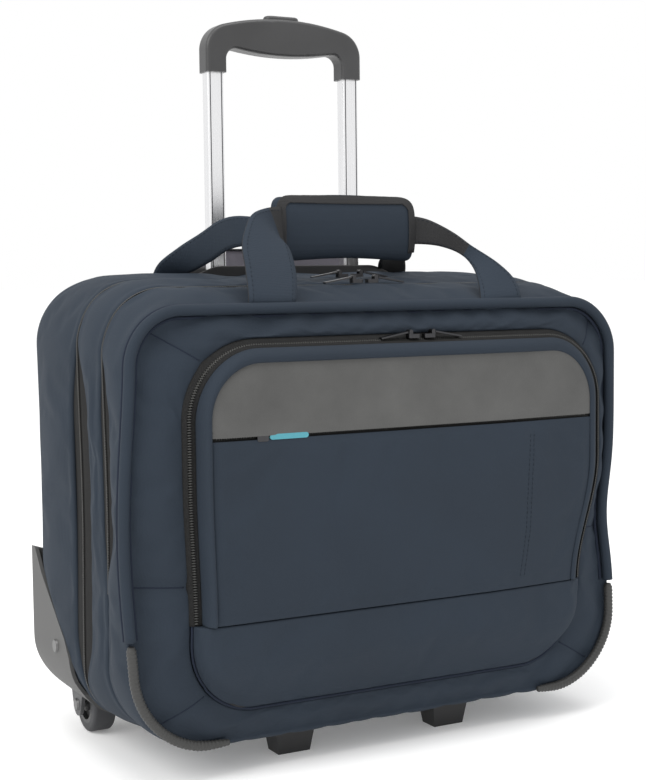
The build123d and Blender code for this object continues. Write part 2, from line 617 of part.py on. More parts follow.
with BuildPart() as laptop_divider:
    with BuildSketch(front_plane(DIVIDER_Y[1])):
        with Locations((0, DIVIDER_MIDDLE_Z)):
            RectangleRounded(*DIVIDER_SIZE, DIVIDER_RADIUS)
    extrude(amount=DIVIDER_Y[1] - DIVIDER_Y[0])
save(laptop_divider.part, "laptop_divider")

with BuildPart() as laptop_strap:
    # a webbing strap from the back wall over the divider's top edge
    wall_y = middle_back_y - WALL
    front_y = DIVIDER_Y[0] - WEBBING_THICKNESS
    under_z = WEBBING_TOP - WEBBING_THICKNESS
    with BuildSketch(Plane.YZ.offset(-WEBBING_WIDTH / 2)):
        with BuildLine():
            Polyline((wall_y, WEBBING_TOP), (front_y, WEBBING_TOP), (front_y, WEBBING_TAIL_Z),
                     (DIVIDER_Y[0], WEBBING_TAIL_Z), (DIVIDER_Y[0], under_z), (wall_y, under_z), close=True)
        make_face()
    extrude(amount=WEBBING_WIDTH)
save(laptop_strap.part, "laptop_strap")

# ---- front lid: shell, piping, pocket frame and organiser ----------------------------------------
POCKET_HALF = 183.0
POCKET_TOP = 318.0
POCKET_RADIUS = 54.0
POCKET_SLOPE = 12.0         # how far the flap leans in, from its zip to its face
FACE_DROP = 10.0            # how far the face's top edge is under the zip
FRAME_DEPTH = 12.0          # gusset between the panel and the zip
FRAME_WIDTH = 6.0
ZIP_DEPTH = 4.0
FLAP_GAP = 0.3
FLAP_WALL = 2.5


def pocket_outline(y, half, top, radius):
    """The pocket's outline: square at the fold line, rounded at the top."""
    with BuildSketch(front_plane(y)) as outline:
        bottom = HINGE_Z + BODY_GAP
        with Locations((0, (top + bottom) / 2)):
            Rectangle(2 * half, top - bottom)
        fillet(outline.vertices().group_by(Axis.Y)[-1], radius)
    return outline.sketch.face()


with BuildPart() as lid_shell:
    add(front_solid)
    add(front_hollow, mode=Mode.SUBTRACT)
    add(above_hinge, mode=Mode.INTERSECT)
save(lid_shell.part, "lid_shell")

ORGANISER_SIZE = (330.0, 160.0)
ORGANISER_RADIUS = 15.0
ORGANISER_MIDDLE_Z = 205.0
ORGANISER_THICKNESS = 1.5
with BuildPart() as organiser_panel:
    with BuildSketch(front_plane(FRONT_Y + WALL + ORGANISER_THICKNESS)):
        with Locations((0, ORGANISER_MIDDLE_Z)):
            RectangleRounded(*ORGANISER_SIZE, ORGANISER_RADIUS)
    extrude(amount=ORGANISER_THICKNESS)
save(organiser_panel.part, "organiser_panel")

with BuildPart() as front_piping:
    piping_x = CASE_HALF - PIPING_INSET
    piping_top = LID_TOP - PIPING_INSET
    piping_radius = LID_TOP_RADIUS - PIPING_INSET
    with BuildLine(front_plane(PIPING_Y)) as piping_line:
        Line((-piping_x, HINGE_Z + BODY_GAP), (-piping_x, piping_top - piping_radius))
        RadiusArc((-piping_x, piping_top - piping_radius), (-piping_x + piping_radius, piping_top),
                  piping_radius)
        Line((-piping_x + piping_radius, piping_top), (piping_x - piping_radius, piping_top))
        RadiusArc((piping_x - piping_radius, piping_top), (piping_x, piping_top - piping_radius),
                  piping_radius)
        Line((piping_x, piping_top - piping_radius), (piping_x, HINGE_Z + BODY_GAP))
    with BuildSketch(Plane(origin=piping_line.line @ 0, z_dir=piping_line.line % 0)):
        Circle(PIPING_RADIUS)
    sweep()
save(front_piping.part, "front_piping")

with BuildPart() as pocket_frame:
    extrude(pocket_outline(FRONT_Y, POCKET_HALF + FRAME_WIDTH, POCKET_TOP + FRAME_WIDTH,
                           POCKET_RADIUS + FRAME_WIDTH), amount=FRAME_DEPTH)
    extrude(pocket_outline(FRONT_Y, POCKET_HALF + BODY_GAP, POCKET_TOP + BODY_GAP,
                           POCKET_RADIUS + BODY_GAP), amount=FRAME_DEPTH, mode=Mode.SUBTRACT)
save(pocket_frame.part, "pocket_frame")

# ---- front pocket: a flap that folds down from its U-shaped zip ----------------------------------
SLOT_Z = (247.0, 256.0)
SLOT_DEPTH = 1.5
LEATHERETTE_TOP = 300.0
LEATHERETTE_THICKNESS = 1.0
PANEL_MARGIN = 4.0
flap_back_y = FRONT_Y - FRAME_DEPTH - FLAP_GAP
inner_half = POCKET_HALF - FLAP_WALL
inner_top = POCKET_TOP - FLAP_WALL
inner_radius = POCKET_RADIUS - FLAP_WALL

with BuildPart() as flap_body:
    loft([pocket_outline(flap_back_y, POCKET_HALF, POCKET_TOP, POCKET_RADIUS),
          pocket_outline(FACE_Y, POCKET_HALF - POCKET_SLOPE, POCKET_TOP - FACE_DROP, POCKET_RADIUS - POCKET_SLOPE)])
    loft([pocket_outline(flap_back_y, inner_half, inner_top, inner_radius),
          pocket_outline(FACE_Y + FLAP_WALL, inner_half - POCKET_SLOPE, inner_top - FACE_DROP,
                         inner_radius - POCKET_SLOPE)], mode=Mode.SUBTRACT)

panel_half = POCKET_HALF - POCKET_SLOPE - PANEL_MARGIN
leatherette_zone = box_between((-panel_half, FACE_Y, SLOT_Z[1]),
                               (panel_half, FACE_Y + LEATHERETTE_THICKNESS, LEATHERETTE_TOP))
slot_zone = box_between((-panel_half, FACE_Y, SLOT_Z[0]), (panel_half, FACE_Y + SLOT_DEPTH, SLOT_Z[1]))
zip_zone = box_between((-POCKET_HALF, flap_back_y - ZIP_DEPTH, HINGE_Z), (POCKET_HALF, flap_back_y, POCKET_TOP))

with BuildPart() as pocket_flap:
    add(flap_body.part)
    add(leatherette_zone, mode=Mode.SUBTRACT)
    add(slot_zone, mode=Mode.SUBTRACT)
    add(zip_zone, mode=Mode.SUBTRACT)
save(pocket_flap.part, "pocket_flap")

with BuildPart() as pocket_zip_tape:
    add(flap_body.part)
    add(zip_zone, mode=Mode.INTERSECT)
save(pocket_zip_tape.part, "pocket_zip_tape")

with BuildPart() as leatherette_panel:
    add(flap_body.part)
    add(leatherette_zone, mode=Mode.INTERSECT)
save(leatherette_panel.part, "leatherette_panel")

# ---- carry straps and the grip wrap --------------------------------------------------------------
FRONT_SEAM = (-103.0, 349.5)
REAR_SEAM = (68.0, 367.0)
FRONT_SEAM_X = (80.0, 118.0)
REAR_SEAM_X = (99.0, 118.0)
WRAP_HALF = 64.0
WRAP_Y = (-44.0, -26.0)
WRAP_Z = (378.0, 429.0)
WRAP_RADIUS = 7.0
FRONT_BAR_Y = -35.0
FRONT_BAR_Z = (390.0, 415.0)
REAR_BAR_Y = -25.0
REAR_BAR_Z = (388.0, 412.0)
REAR_LEG_STEP = 2.0         # the rear legs meet their bar this far behind its face
BAR_HALF_WIDTH = 84.0
BAR_INNER_X = WRAP_HALF + 1.5


def strap_leg(seam, seam_x, bar_y, bar_z):
    """One leg of a strap, as a flat quadrilateral from its seam to the end of the bar."""
    seam_y, seam_z = seam
    lean = Vector(0, bar_y - seam_y, sum(bar_z) / 2 - seam_z)
    length = lean.length
    leg_plane = Plane(origin=(0, seam_y, seam_z), x_dir=(1, 0, 0), z_dir=Vector(1, 0, 0).cross(lean))
    with BuildPart() as leg:
        with BuildSketch(leg_plane):
            with BuildLine():
                Polyline((seam_x[0], 0), (seam_x[1], 0), (BAR_HALF_WIDTH, length),
                         (BAR_INNER_X, length), close=True)
            make_face()
        extrude(amount=STRAP_THICKNESS / 2, both=True)
    return leg.part


for name, seam, seam_x, bar_y, bar_z in (
    ("front_strap", FRONT_SEAM, FRONT_SEAM_X, FRONT_BAR_Y, FRONT_BAR_Z),
    ("rear_strap", REAR_SEAM, REAR_SEAM_X, REAR_BAR_Y + REAR_LEG_STEP, REAR_BAR_Z),
):
    with BuildPart() as strap:
        add(strap_leg(seam, seam_x, bar_y, bar_z))
        mirror(about=Plane.YZ)
        add(box_between((-BAR_HALF_WIDTH, bar_y, bar_z[0]), (BAR_HALF_WIDTH, bar_y + STRAP_THICKNESS, bar_z[1])))
    save(strap.part, name)

with BuildPart() as grip_wrap:
    with BuildSketch(Plane.YZ.offset(-WRAP_HALF)):
        with Locations((sum(WRAP_Y) / 2, sum(WRAP_Z) / 2)):
            RectangleRounded(WRAP_Y[1] - WRAP_Y[0], WRAP_Z[1] - WRAP_Z[0], WRAP_RADIUS)
        with Locations((FRONT_BAR_Y + STRAP_THICKNESS / 2, sum(FRONT_BAR_Z) / 2)):
            Rectangle(STRAP_THICKNESS + 1, FRONT_BAR_Z[1] - FRONT_BAR_Z[0] + 2, mode=Mode.SUBTRACT)
    extrude(amount=2 * WRAP_HALF)
save(grip_wrap.part, "grip_wrap")

# ---- zip sliders and their pulls -----------------------------------------------------------------
SLIDER_SIZE = (10.0, 7.0, 3.0)
SLIDER_CORNER = 2.0
LUG_Y = (1.7, 2.7)
LUG_REACH = 1.6
PIN_RADIUS = 0.7
PIN_OFFSET = 3.0            # from the slider's middle towards its pull
PIN_HEIGHT = 1.9            # above the slider's top
EYE_RADIUS = 1.5
EYE_HALF_WIDTH = 1.4
EYE_CLEARANCE = 0.1
PULL_LENGTH = 26.0
PULL_WIDTH = 4.6
PULL_THICKNESS = 1.2
PULL_START = 2.4
PULL_DROOP = 10.0           # degrees below level, so that the tip lies just over the fabric


def zip_slider(name, x, y, z, pull_side):
    """A slider on the zip at (x, y, z) with a pin across its bridge, and the pull that turns on it."""
    top = z + SLIDER_SIZE[2]
    pin_x = x + pull_side * PIN_OFFSET
    pin_z = top + PIN_HEIGHT
    across = Plane(origin=(pin_x, y, pin_z), x_dir=(1, 0, 0), z_dir=(0, 1, 0))
    with BuildPart() as slider:
        with BuildSketch(Plane.XY.offset(z)):
            with Locations((x, y)):
                RectangleRounded(SLIDER_SIZE[0], SLIDER_SIZE[1], SLIDER_CORNER)
        extrude(amount=SLIDER_SIZE[2])
        for side in (-1, 1):
            with BuildSketch(across.offset(side * LUG_Y[0])):
                Circle(LUG_REACH)
                with Locations((0, PIN_HEIGHT / 2)):
                    Rectangle(2 * LUG_REACH, PIN_HEIGHT)
            extrude(amount=side * (LUG_Y[1] - LUG_Y[0]))
        with BuildSketch(across):
            Circle(PIN_RADIUS)
        extrude(amount=LUG_Y[0], both=True)
    save(slider.part, f"{name}_slider")

    droop = PULL_DROOP if pull_side > 0 else 180 - PULL_DROOP
    plate = Plane(Location(across) * Location((0, 0, 0), (0, 0, droop)))
    with BuildPart() as pull:
        with BuildSketch(plate):
            Circle(EYE_RADIUS)
            with Locations(((PULL_START + 1) / 2, 0)):
                Rectangle(PULL_START + 1, PULL_THICKNESS)
        extrude(amount=EYE_HALF_WIDTH, both=True)
        with BuildSketch(plate):
            with Locations(((PULL_START + PULL_LENGTH) / 2, 0)):
                Rectangle(PULL_LENGTH - PULL_START, PULL_THICKNESS)
        extrude(amount=PULL_WIDTH / 2, both=True)
        with BuildSketch(plate):
            Circle(PIN_RADIUS + EYE_CLEARANCE)
        extrude(amount=PULL_WIDTH, both=True, mode=Mode.SUBTRACT)
    save(pull.part, f"{name}_pull")


TOP_GAP = 0.6
POCKET_GAP = 0.4
POCKET_SLIDER_Y = flap_back_y - SLIDER_SIZE[1] / 2 - POCKET_GAP
MAIN_SLIDER_Y = 4.0
LID_SLIDER_Y = -52.0
SLIDER_STEP = 14.0          # between the middles of two sliders that have met
for zip_name, left_x, slider_y, slider_z in (
    ("main_zip", 20.0, MAIN_SLIDER_Y, CASE_TOP + TOP_GAP),
    ("lid_zip", 2.0, LID_SLIDER_Y, LID_SEAM_TOP + 2 * TOP_GAP),
    ("pocket_zip", 14.0, POCKET_SLIDER_Y, POCKET_TOP + POCKET_GAP),
):
    zip_slider(f"{zip_name}_left", left_x, slider_y, slider_z, -1)
    zip_slider(f"{zip_name}_right", left_x + SLIDER_STEP, slider_y, slider_z, 1)

# the slot zip's slider sits in the groove under the leatherette; its cord pull lies along it
SLOT_MIDDLE_Z = sum(SLOT_Z) / 2
SLOT_PIECE_THICKNESS = 1.2
SLOT_SLIDER_X = -118.0
SLOT_PULL_X = -97.0
SLOT_SLIDER_SIZE = (9.0, 6.0)
SLOT_SLIDER_CORNER = 1.5
SLOT_PULL_SIZE = (31.0, 4.0)
SLOT_FLOOR_Y = FACE_Y + SLOT_DEPTH - 0.1
with BuildPart() as slot_slider:
    with BuildSketch(front_plane(SLOT_FLOOR_Y)):
        with Locations((SLOT_SLIDER_X, SLOT_MIDDLE_Z)):
            RectangleRounded(*SLOT_SLIDER_SIZE, SLOT_SLIDER_CORNER)
    extrude(amount=SLOT_PIECE_THICKNESS)
save(slot_slider.part, "slot_zip_slider")

with BuildPart() as slot_pull:
    with BuildSketch(front_plane(SLOT_FLOOR_Y)):
        with Locations((SLOT_PULL_X, SLOT_MIDDLE_Z)):
            SlotOverall(*SLOT_PULL_SIZE)
    extrude(amount=SLOT_PIECE_THICKNESS)
save(slot_pull.part, "slot_zip_pull")
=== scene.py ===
"""Looks of the rolling laptop case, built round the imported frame. Metres; X is the width, -Y the
front, +Y the back and +Z up. Every size comes from the frame's boxes or from a named value."""
import math

import bmesh
import bpy
import numpy as np
from mathutils import Matrix, Vector, noise


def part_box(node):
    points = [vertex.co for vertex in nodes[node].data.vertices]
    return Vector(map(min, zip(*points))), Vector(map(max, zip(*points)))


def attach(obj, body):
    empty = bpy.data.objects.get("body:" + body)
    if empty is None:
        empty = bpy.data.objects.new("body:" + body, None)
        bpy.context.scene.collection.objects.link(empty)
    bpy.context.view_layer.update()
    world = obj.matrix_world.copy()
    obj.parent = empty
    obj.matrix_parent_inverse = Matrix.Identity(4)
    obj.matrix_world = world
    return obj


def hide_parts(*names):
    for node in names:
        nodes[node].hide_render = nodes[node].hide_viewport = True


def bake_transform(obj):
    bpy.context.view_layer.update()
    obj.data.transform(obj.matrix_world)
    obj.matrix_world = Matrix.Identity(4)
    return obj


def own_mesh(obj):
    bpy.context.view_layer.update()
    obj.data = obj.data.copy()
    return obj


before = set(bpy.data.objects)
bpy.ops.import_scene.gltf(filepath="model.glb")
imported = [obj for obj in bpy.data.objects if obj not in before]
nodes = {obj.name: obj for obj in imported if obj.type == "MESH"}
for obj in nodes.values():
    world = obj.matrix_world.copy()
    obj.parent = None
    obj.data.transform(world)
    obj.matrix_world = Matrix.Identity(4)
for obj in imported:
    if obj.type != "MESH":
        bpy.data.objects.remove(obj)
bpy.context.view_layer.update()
MM = 0.001


def edge(node, axis, high=True):
    """One limit of a CAD node's box, in metres."""
    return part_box(node)[1 if high else 0][axis]


# ---- sizes read from the frame --------------------------------------------------------------------
CASE_HALF = edge("rear_shell", 0)
CASE_BOTTOM = edge("middle_shell", 2, False)
CASE_TOP = edge("rear_shell", 2)
REAR_Y = edge("rear_shell", 1)
FRONT_Y = edge("lid_shell", 1, False)
LID_SEAM_Y = edge("middle_shell", 1, False)
MAIN_Y = edge("middle_shell", 1) + 0.5 * MM
LID_SEAM_TOP = edge("lid_shell", 2)
FOLD_Z = edge("pocket_flap", 2, False)
FACE_Y = edge("pocket_flap", 1, False)
POCKET_HALF = edge("pocket_zip_tape", 0)
POCKET_TOP = edge("pocket_zip_tape", 2)
BAND_LOW = edge("lower_band", 2, False)
PIPING_Y = sum(edge("front_piping", 1, high) for high in (False, True)) / 2
PIPING_RADIUS = (edge("front_piping", 1) - edge("front_piping", 1, False)) / 2
PIPING_TOP = edge("front_piping", 2) - PIPING_RADIUS

# ---- sizes of the soft body that the boxes don't give ---------------------------------------------
WALL = 3.0 * MM
BOTTOM_RADIUS = 60 * MM
REAR_BOTTOM_RADIUS = 44 * MM
BACK_BOTTOM_RADIUS = 52 * MM
TOP_RADIUS = 50 * MM
LID_RADIUS = 42 * MM
PIPING_INSET = CASE_HALF - edge("front_piping", 0) + PIPING_RADIUS
LID_TOP = PIPING_TOP + PIPING_INSET
POCKET_RADIUS = 54 * MM
ARC_STEPS = 18


# ---- meshes from grids ----------------------------------------------------------------------------
def new_mesh(name, points, faces, smooth=True):
    """A mesh object from a list of points and faces."""
    mesh = bpy.data.meshes.new(name)
    mesh.from_pydata([tuple(p) for p in points], [], [tuple(f) for f in faces])
    mesh.validate()
    mesh.update()
    piece = bpy.data.objects.new(name, mesh)
    bpy.context.scene.collection.objects.link(piece)
    mesh.polygons.foreach_set("use_smooth", [smooth] * len(mesh.polygons))
    return piece


def grid_faces(rows, columns, wrap=False, first=0):
    """Quads of a grid whose points are numbered row by row."""
    faces = []
    for i in range(rows - 1):
        for j in range(columns if wrap else columns - 1):
            k = (j + 1) % columns
            faces.append((first + i * columns + j, first + i * columns + k,
                          first + (i + 1) * columns + k, first + (i + 1) * columns + j))
    return faces


def grid_piece(name, grid, wrap=False, flip=False):
    """A sheet from an array of rows of points; wrap joins each row's ends."""
    rows, columns, _ = grid.shape
    faces = grid_faces(rows, columns, wrap)
    if flip:
        faces = [face[::-1] for face in faces]
    return new_mesh(name, grid.reshape(-1, 3), faces)


def thicken(piece, thickness, material=None, offset=-1.0):
    """A wall behind a sheet's outer face; the inside may have a material of its own."""
    solid = piece.modifiers.new("wall", "SOLIDIFY")
    solid.thickness = thickness
    solid.offset = offset
    solid.use_even_offset = False
    if material is not None:
        piece.data.materials.append(material)
        solid.material_offset = 1
    return piece


def join(name, parts):
    """One object made of several, keeping their materials."""
    bpy.context.view_layer.update()
    with bpy.context.temp_override(active_object=parts[0], selected_editable_objects=parts,
                                   selected_objects=parts, object=parts[0]):
        bpy.ops.object.join()
    parts[0].name = name
    return parts[0]


def paint(piece, material):
    piece.data.materials.clear()
    piece.data.materials.append(material)
    return piece


def sweep(name, path, section, closed=False, caps=True, up=None):
    """A solid that follows path; section is a closed outline of (sideways, outward) pairs, or one
    outline for each point of the path. up gives the outward direction at each point."""
    path = np.array(path, float)
    count = len(path)
    if closed:
        tangent = np.roll(path, -1, 0) - np.roll(path, 1, 0)
    else:
        tangent = np.gradient(path, axis=0)
    tangent /= np.linalg.norm(tangent, axis=1)[:, None]
    outward = np.array(up, float)
    if outward.ndim == 1:
        outward = np.repeat(outward[None], count, 0)
    outward = outward - (outward * tangent).sum(1)[:, None] * tangent
    outward /= np.linalg.norm(outward, axis=1)[:, None]
    sideways = np.cross(tangent, outward)
    section = np.array(section, float)
    if section.ndim == 2:
        section = np.repeat(section[None], count, 0)
    grid = (path[:, None] + section[..., 0:1] * sideways[:, None] + section[..., 1:2] * outward[:, None])
    columns = section.shape[1]
    faces = grid_faces(count, columns, wrap=True)
    if closed:
        last = (count - 1) * columns
        faces += [(last + j, last + (j + 1) % columns, (j + 1) % columns, j) for j in range(columns)]
    elif caps:
        faces.append(tuple(range(columns))[::-1])
        faces.append(tuple((count - 1) * columns + j for j in range(columns)))
    piece = new_mesh(name, grid.reshape(-1, 3), faces)
    tidy = bmesh.new()
    tidy.from_mesh(piece.data)
    bmesh.ops.recalc_face_normals(tidy, faces=tidy.faces)
    tidy.to_mesh(piece.data)
    tidy.free()
    return piece


def round_section(radius, count=12):
    turns = np.linspace(0, 2 * math.pi, count, endpoint=False)
    return [(radius * math.cos(t), radius * math.sin(t)) for t in turns]


def flat_section(width, thickness, rounding=0.5):
    """A strip's section, rounded at its edges: width across, thickness outward."""
    half, deep = width / 2, thickness / 2
    lip = deep * rounding * 2
    outline = []
    for x, z, turn in ((half, deep, 0), (-half, deep, 90), (-half, -deep, 180), (half, -deep, 270)):
        for k in range(4):
            angle = math.radians(turn + 30 * k)
            centre = (x - math.copysign(min(lip, half), x), z - math.copysign(min(lip, deep), z))
            outline.append((centre[0] + min(lip, half) * math.cos(angle),
                            centre[1] + min(lip, deep) * math.sin(angle)))
    return outline


def smooth_step(value, start, end):
    t = np.clip((value - start) / (end - start), 0, 1)
    return t * t * (3 - 2 * t)


def rough_field(points, size, seed):
    """Slow, repeatable noise between -1 and 1 at each point."""
    shift = Vector((seed * 3.7, seed * 1.3, seed * 2.9))
    return np.array([noise.noise(Vector(p) / size + shift) for p in points])


# ---- the outline that every soft section shares ---------------------------------------------------
def top_at(y):
    """Height of the crowned top at depth y."""
    if y <= LID_SEAM_Y:
        return LID_TOP + (LID_SEAM_TOP - LID_TOP) * (y - FRONT_Y) / (LID_SEAM_Y - FRONT_Y)
    if y <= MAIN_Y:
        return LID_SEAM_TOP + (CASE_TOP - LID_SEAM_TOP) * (y - LID_SEAM_Y) / (MAIN_Y - LID_SEAM_Y)
    return CASE_TOP


def arc(centre_x, centre_z, radius, start, end, steps=ARC_STEPS):
    turns = np.radians(np.linspace(start, end, steps + 1))
    return [(centre_x + radius * math.cos(t), centre_z + radius * math.sin(t)) for t in turns]


def straight(start, end, steps):
    """Points of a straight run, without its ends."""
    return [(start[0] + (end[0] - start[0]) * k / steps, start[1] + (end[1] - start[1]) * k / steps)
            for k in range(1, steps)]


TOP_STEPS = 66
SIDE_STEPS = 50


def outline(half, low, high, low_radius, high_radius):
    """A rounded rectangle from the bottom's middle by the right side, top and left side; the same
    count of points for any size."""
    low_radius = max(low_radius, 1 * MM)
    high_radius = max(high_radius, 1 * MM)
    right_low = arc(half - low_radius, low + low_radius, low_radius, -90, 0)
    right_high = arc(half - high_radius, high - high_radius, high_radius, 0, 90)
    left_high = [(-x, z) for x, z in right_high[::-1]]
    left_low = [(-x, z) for x, z in right_low[::-1]]
    points = [(0, low)]
    points += straight((0, low), right_low[0], TOP_STEPS // 2) + right_low
    points += straight(right_low[-1], right_high[0], SIDE_STEPS) + right_high
    points += straight(right_high[-1], left_high[0], TOP_STEPS) + left_high
    points += straight(left_high[-1], left_low[0], SIDE_STEPS) + left_low
    points += straight(left_low[-1], (0, low), TOP_STEPS // 2)
    return np.array(points)


def case_outline(y, inset=0.0):
    blend = smooth_step(y, FRONT_Y, FRONT_Y + 15 * MM)
    high_radius = LID_RADIUS + (TOP_RADIUS - LID_RADIUS) * blend
    back_share = min(max((y - LID_SEAM_Y) / (MAIN_Y - LID_SEAM_Y), 0.0), 1.0)
    low_radius = BOTTOM_RADIUS + (REAR_BOTTOM_RADIUS - BOTTOM_RADIUS) * back_share
    return outline(CASE_HALF - inset, CASE_BOTTOM + inset, top_at(y) - inset,
                   low_radius - inset, high_radius - inset)


def outward(points):
    """Unit normals of a closed outline in the XZ plane."""
    run = np.roll(points, -1, 0) - np.roll(points, 1, 0)
    length = np.maximum(np.linalg.norm(run, axis=1), 1e-9)
    return np.stack([run[:, 1], -run[:, 0]], 1) / length[:, None]


def at_depth(points, y):
    """Outline points in 3-D at depth y, which may differ from point to point."""
    return np.stack([points[:, 0], np.broadcast_to(y, len(points)), points[:, 1]], 1)


SIDE_ROWS = case_outline(MAIN_Y)
COLUMNS = len(SIDE_ROWS)


# ---- how the soft body stands: its front leans to the left, the pocket to the right ----------------
LEFT_SWAY = 7.5 * MM
RIGHT_BULGE = 2.2 * MM
RIGHT_WAIST = 7.0 * MM
WAIST_Z = 0.168
WAIST_SPREAD = 0.040
POCKET_SWAY = 11 * MM
POCKET_FOOT_SWAY = 2 * MM
POCKET_FOOT_SHARE = 0.935
ZIP_PROUD = 14 * MM
RIGHT_FALL = 0.45


def swayed(points, weight=1.0):
    """Outline points moved sideways: the front bulges out on the left and has a waist on the right."""
    z = points[:, 1]
    left = -LEFT_SWAY * np.sin(np.pi * np.clip((z - 0.03) / 0.30, 0, 1)) ** 2
    right = RIGHT_BULGE - RIGHT_WAIST * np.exp(-((z - WAIST_Z) / WAIST_SPREAD) ** 2)
    right *= smooth_step(z, 0.03, 0.09) * (1 - smooth_step(z, 0.30, 0.34))
    moved = points.copy()
    moved[:, 0] += weight * np.where(points[:, 0] > 0, right, left)
    return moved


def sagged(x, z):
    """Where a point of the pocket or the lower band comes to lie sideways."""
    rise = smooth_step(np.asarray(z), FOLD_Z, FOLD_Z + 0.10)
    share = POCKET_FOOT_SHARE + (1 - POCKET_FOOT_SHARE) * rise
    return np.asarray(x) * share + POCKET_FOOT_SWAY + (POCKET_SWAY - POCKET_FOOT_SWAY) * rise


def pocket_points(x, depth, z):
    """Points of the pocket or the lower band, given by how far they stand in front of the panel. The
    pocket sags sideways and its face falls back towards the right."""
    across = sagged(x, z)
    fall = RIGHT_FALL * smooth_step(across, 0.07, 0.185)
    proud = np.maximum(depth - ZIP_PROUD, 0)
    return np.stack([across, FRONT_Y - depth + proud * fall, z], -1)


# ---- materials ------------------------------------------------------------------------------------
class Shader:
    """A Principled material with helpers for the procedural nodes behind it."""

    def __init__(self, name, roughness, metallic=0.0, sheen=0.0, specular=0.5, coat=0.0):
        self.material = bpy.data.materials.new(name)
        self.material.use_nodes = True
        self.nodes = self.material.node_tree.nodes
        self.links = self.material.node_tree.links
        self.principled = self.nodes["Principled BSDF"]
        self.principled.inputs["Metallic"].default_value = metallic
        self.principled.inputs["Roughness"].default_value = roughness
        self.principled.inputs["Sheen Weight"].default_value = sheen
        self.principled.inputs["Sheen Roughness"].default_value = 0.4
        self.principled.inputs["Specular IOR Level"].default_value = specular
        self.principled.inputs["Coat Weight"].default_value = coat
        self.place = self.nodes.new("ShaderNodeTexCoord").outputs["Object"]
        self.height = None

    def node(self, kind, **values):
        made = self.nodes.new(kind)
        for key, value in values.items():
            if key in made.inputs:
                made.inputs[key].default_value = value
            else:
                setattr(made, key, value)
        return made

    def link(self, source, target):
        self.links.new(source, target)

    def noise(self, scale, detail=3.0, roughness=0.55):
        made = self.node("ShaderNodeTexNoise", Scale=scale, Detail=detail, Roughness=roughness)
        self.link(self.place, made.inputs["Vector"])
        return made.outputs["Fac"]

    def waves(self, scale, direction):
        made = self.node("ShaderNodeTexWave", Scale=scale, bands_direction=direction, wave_profile="SIN")
        made.inputs["Distortion"].default_value = 0.6
        made.inputs["Detail"].default_value = 1.0
        self.link(self.place, made.inputs["Vector"])
        return made.outputs["Fac"]

    def math(self, operation, first, second):
        made = self.node("ShaderNodeMath", operation=operation)
        for socket, value in zip(made.inputs, (first, second)):
            if isinstance(value, (int, float)):
                socket.default_value = value
            else:
                self.link(value, socket)
        return made.outputs[0]

    def ramp(self, factor, low, high, start=0.0, end=1.0):
        made = self.node("ShaderNodeValToRGB")
        elements = made.color_ramp.elements
        elements[0].position, elements[0].color = start, (*low, 1)
        elements[1].position, elements[1].color = end, (*high, 1)
        self.link(factor, made.inputs["Fac"])
        return made.outputs["Color"]

    def colour(self, output):
        self.link(output, self.principled.inputs["Base Color"])

    def rough_range(self, factor, low, high):
        made = self.node("ShaderNodeMapRange")
        made.inputs["To Min"].default_value = low
        made.inputs["To Max"].default_value = high
        self.link(factor, made.inputs["Value"])
        self.link(made.outputs["Result"], self.principled.inputs["Roughness"])

    def bump(self, height, distance, strength=1.0):
        made = self.node("ShaderNodeBump", Strength=strength, Distance=distance)
        self.link(height, made.inputs["Height"])
        if self.height is not None:
            self.link(self.height, made.inputs["Normal"])
        self.height = made.outputs["Normal"]
        self.link(self.height, self.principled.inputs["Normal"])


def shade(colour, factor):
    return tuple(min(1.0, c * factor) for c in colour)


def woven(name, colour, thread=0.9 * MM, depth=0.12 * MM, sheen=0.04, roughness=0.8, variation=0.14):
    """Plain woven cloth: crossed threads, slubs and a slow change of colour."""
    cloth = Shader(name, roughness, sheen=sheen, specular=0.25)
    cloth.principled.inputs["Sheen Tint"].default_value = (*shade(colour, 5.0), 1)
    scale = math.pi / (10 * thread)
    crossed = cloth.math("ADD", cloth.waves(scale, "X"), cloth.waves(scale, "Z"))
    crossed = cloth.math("ADD", crossed, cloth.waves(scale, "Y"))
    slow = cloth.noise(9.0, 4.0)
    fine = cloth.noise(1400.0, 2.0)
    mixed = cloth.math("ADD", cloth.math("MULTIPLY", slow, 0.65), cloth.math("MULTIPLY", fine, 0.35))
    cloth.colour(cloth.ramp(mixed, shade(colour, 1 - variation), shade(colour, 1 + variation), 0.3, 0.7))
    cloth.rough_range(slow, roughness - 0.06, min(1.0, roughness + 0.08))
    cloth.bump(crossed, depth, 0.35)
    cloth.bump(fine, depth, 0.5)
    return cloth.material


def ribbed_tape(name, colour):
    """Zip tape: fine ribs along the run with a soft twill."""
    tape = Shader(name, 0.8, specular=0.12)
    ribs = tape.math("ADD", tape.waves(260.0, "Z"), tape.waves(260.0, "X"))
    fine = tape.noise(900.0, 3.0)
    tape.colour(tape.ramp(fine, shade(colour, 0.75), shade(colour, 1.35), 0.3, 0.7))
    tape.rough_range(fine, 0.72, 0.9)
    tape.bump(ribs, 0.2 * MM, 0.5)
    tape.bump(fine, 0.1 * MM, 0.4)
    return tape.material


def hide(name, colour):
    """Leatherette: soft mottling over a pebbled grain."""
    skin = Shader(name, 0.5, specular=0.5)
    slow = skin.noise(16.0, 5.0, 0.6)
    cells = skin.node("ShaderNodeTexVoronoi", Scale=650.0)
    skin.link(skin.place, cells.inputs["Vector"])
    skin.colour(skin.ramp(slow, shade(colour, 0.8), shade(colour, 1.25), 0.3, 0.72))
    skin.rough_range(slow, 0.42, 0.6)
    skin.bump(cells.outputs["Distance"], 0.25 * MM, 0.45)
    skin.bump(skin.noise(60.0, 4.0), 0.8 * MM, 0.12)
    return skin.material


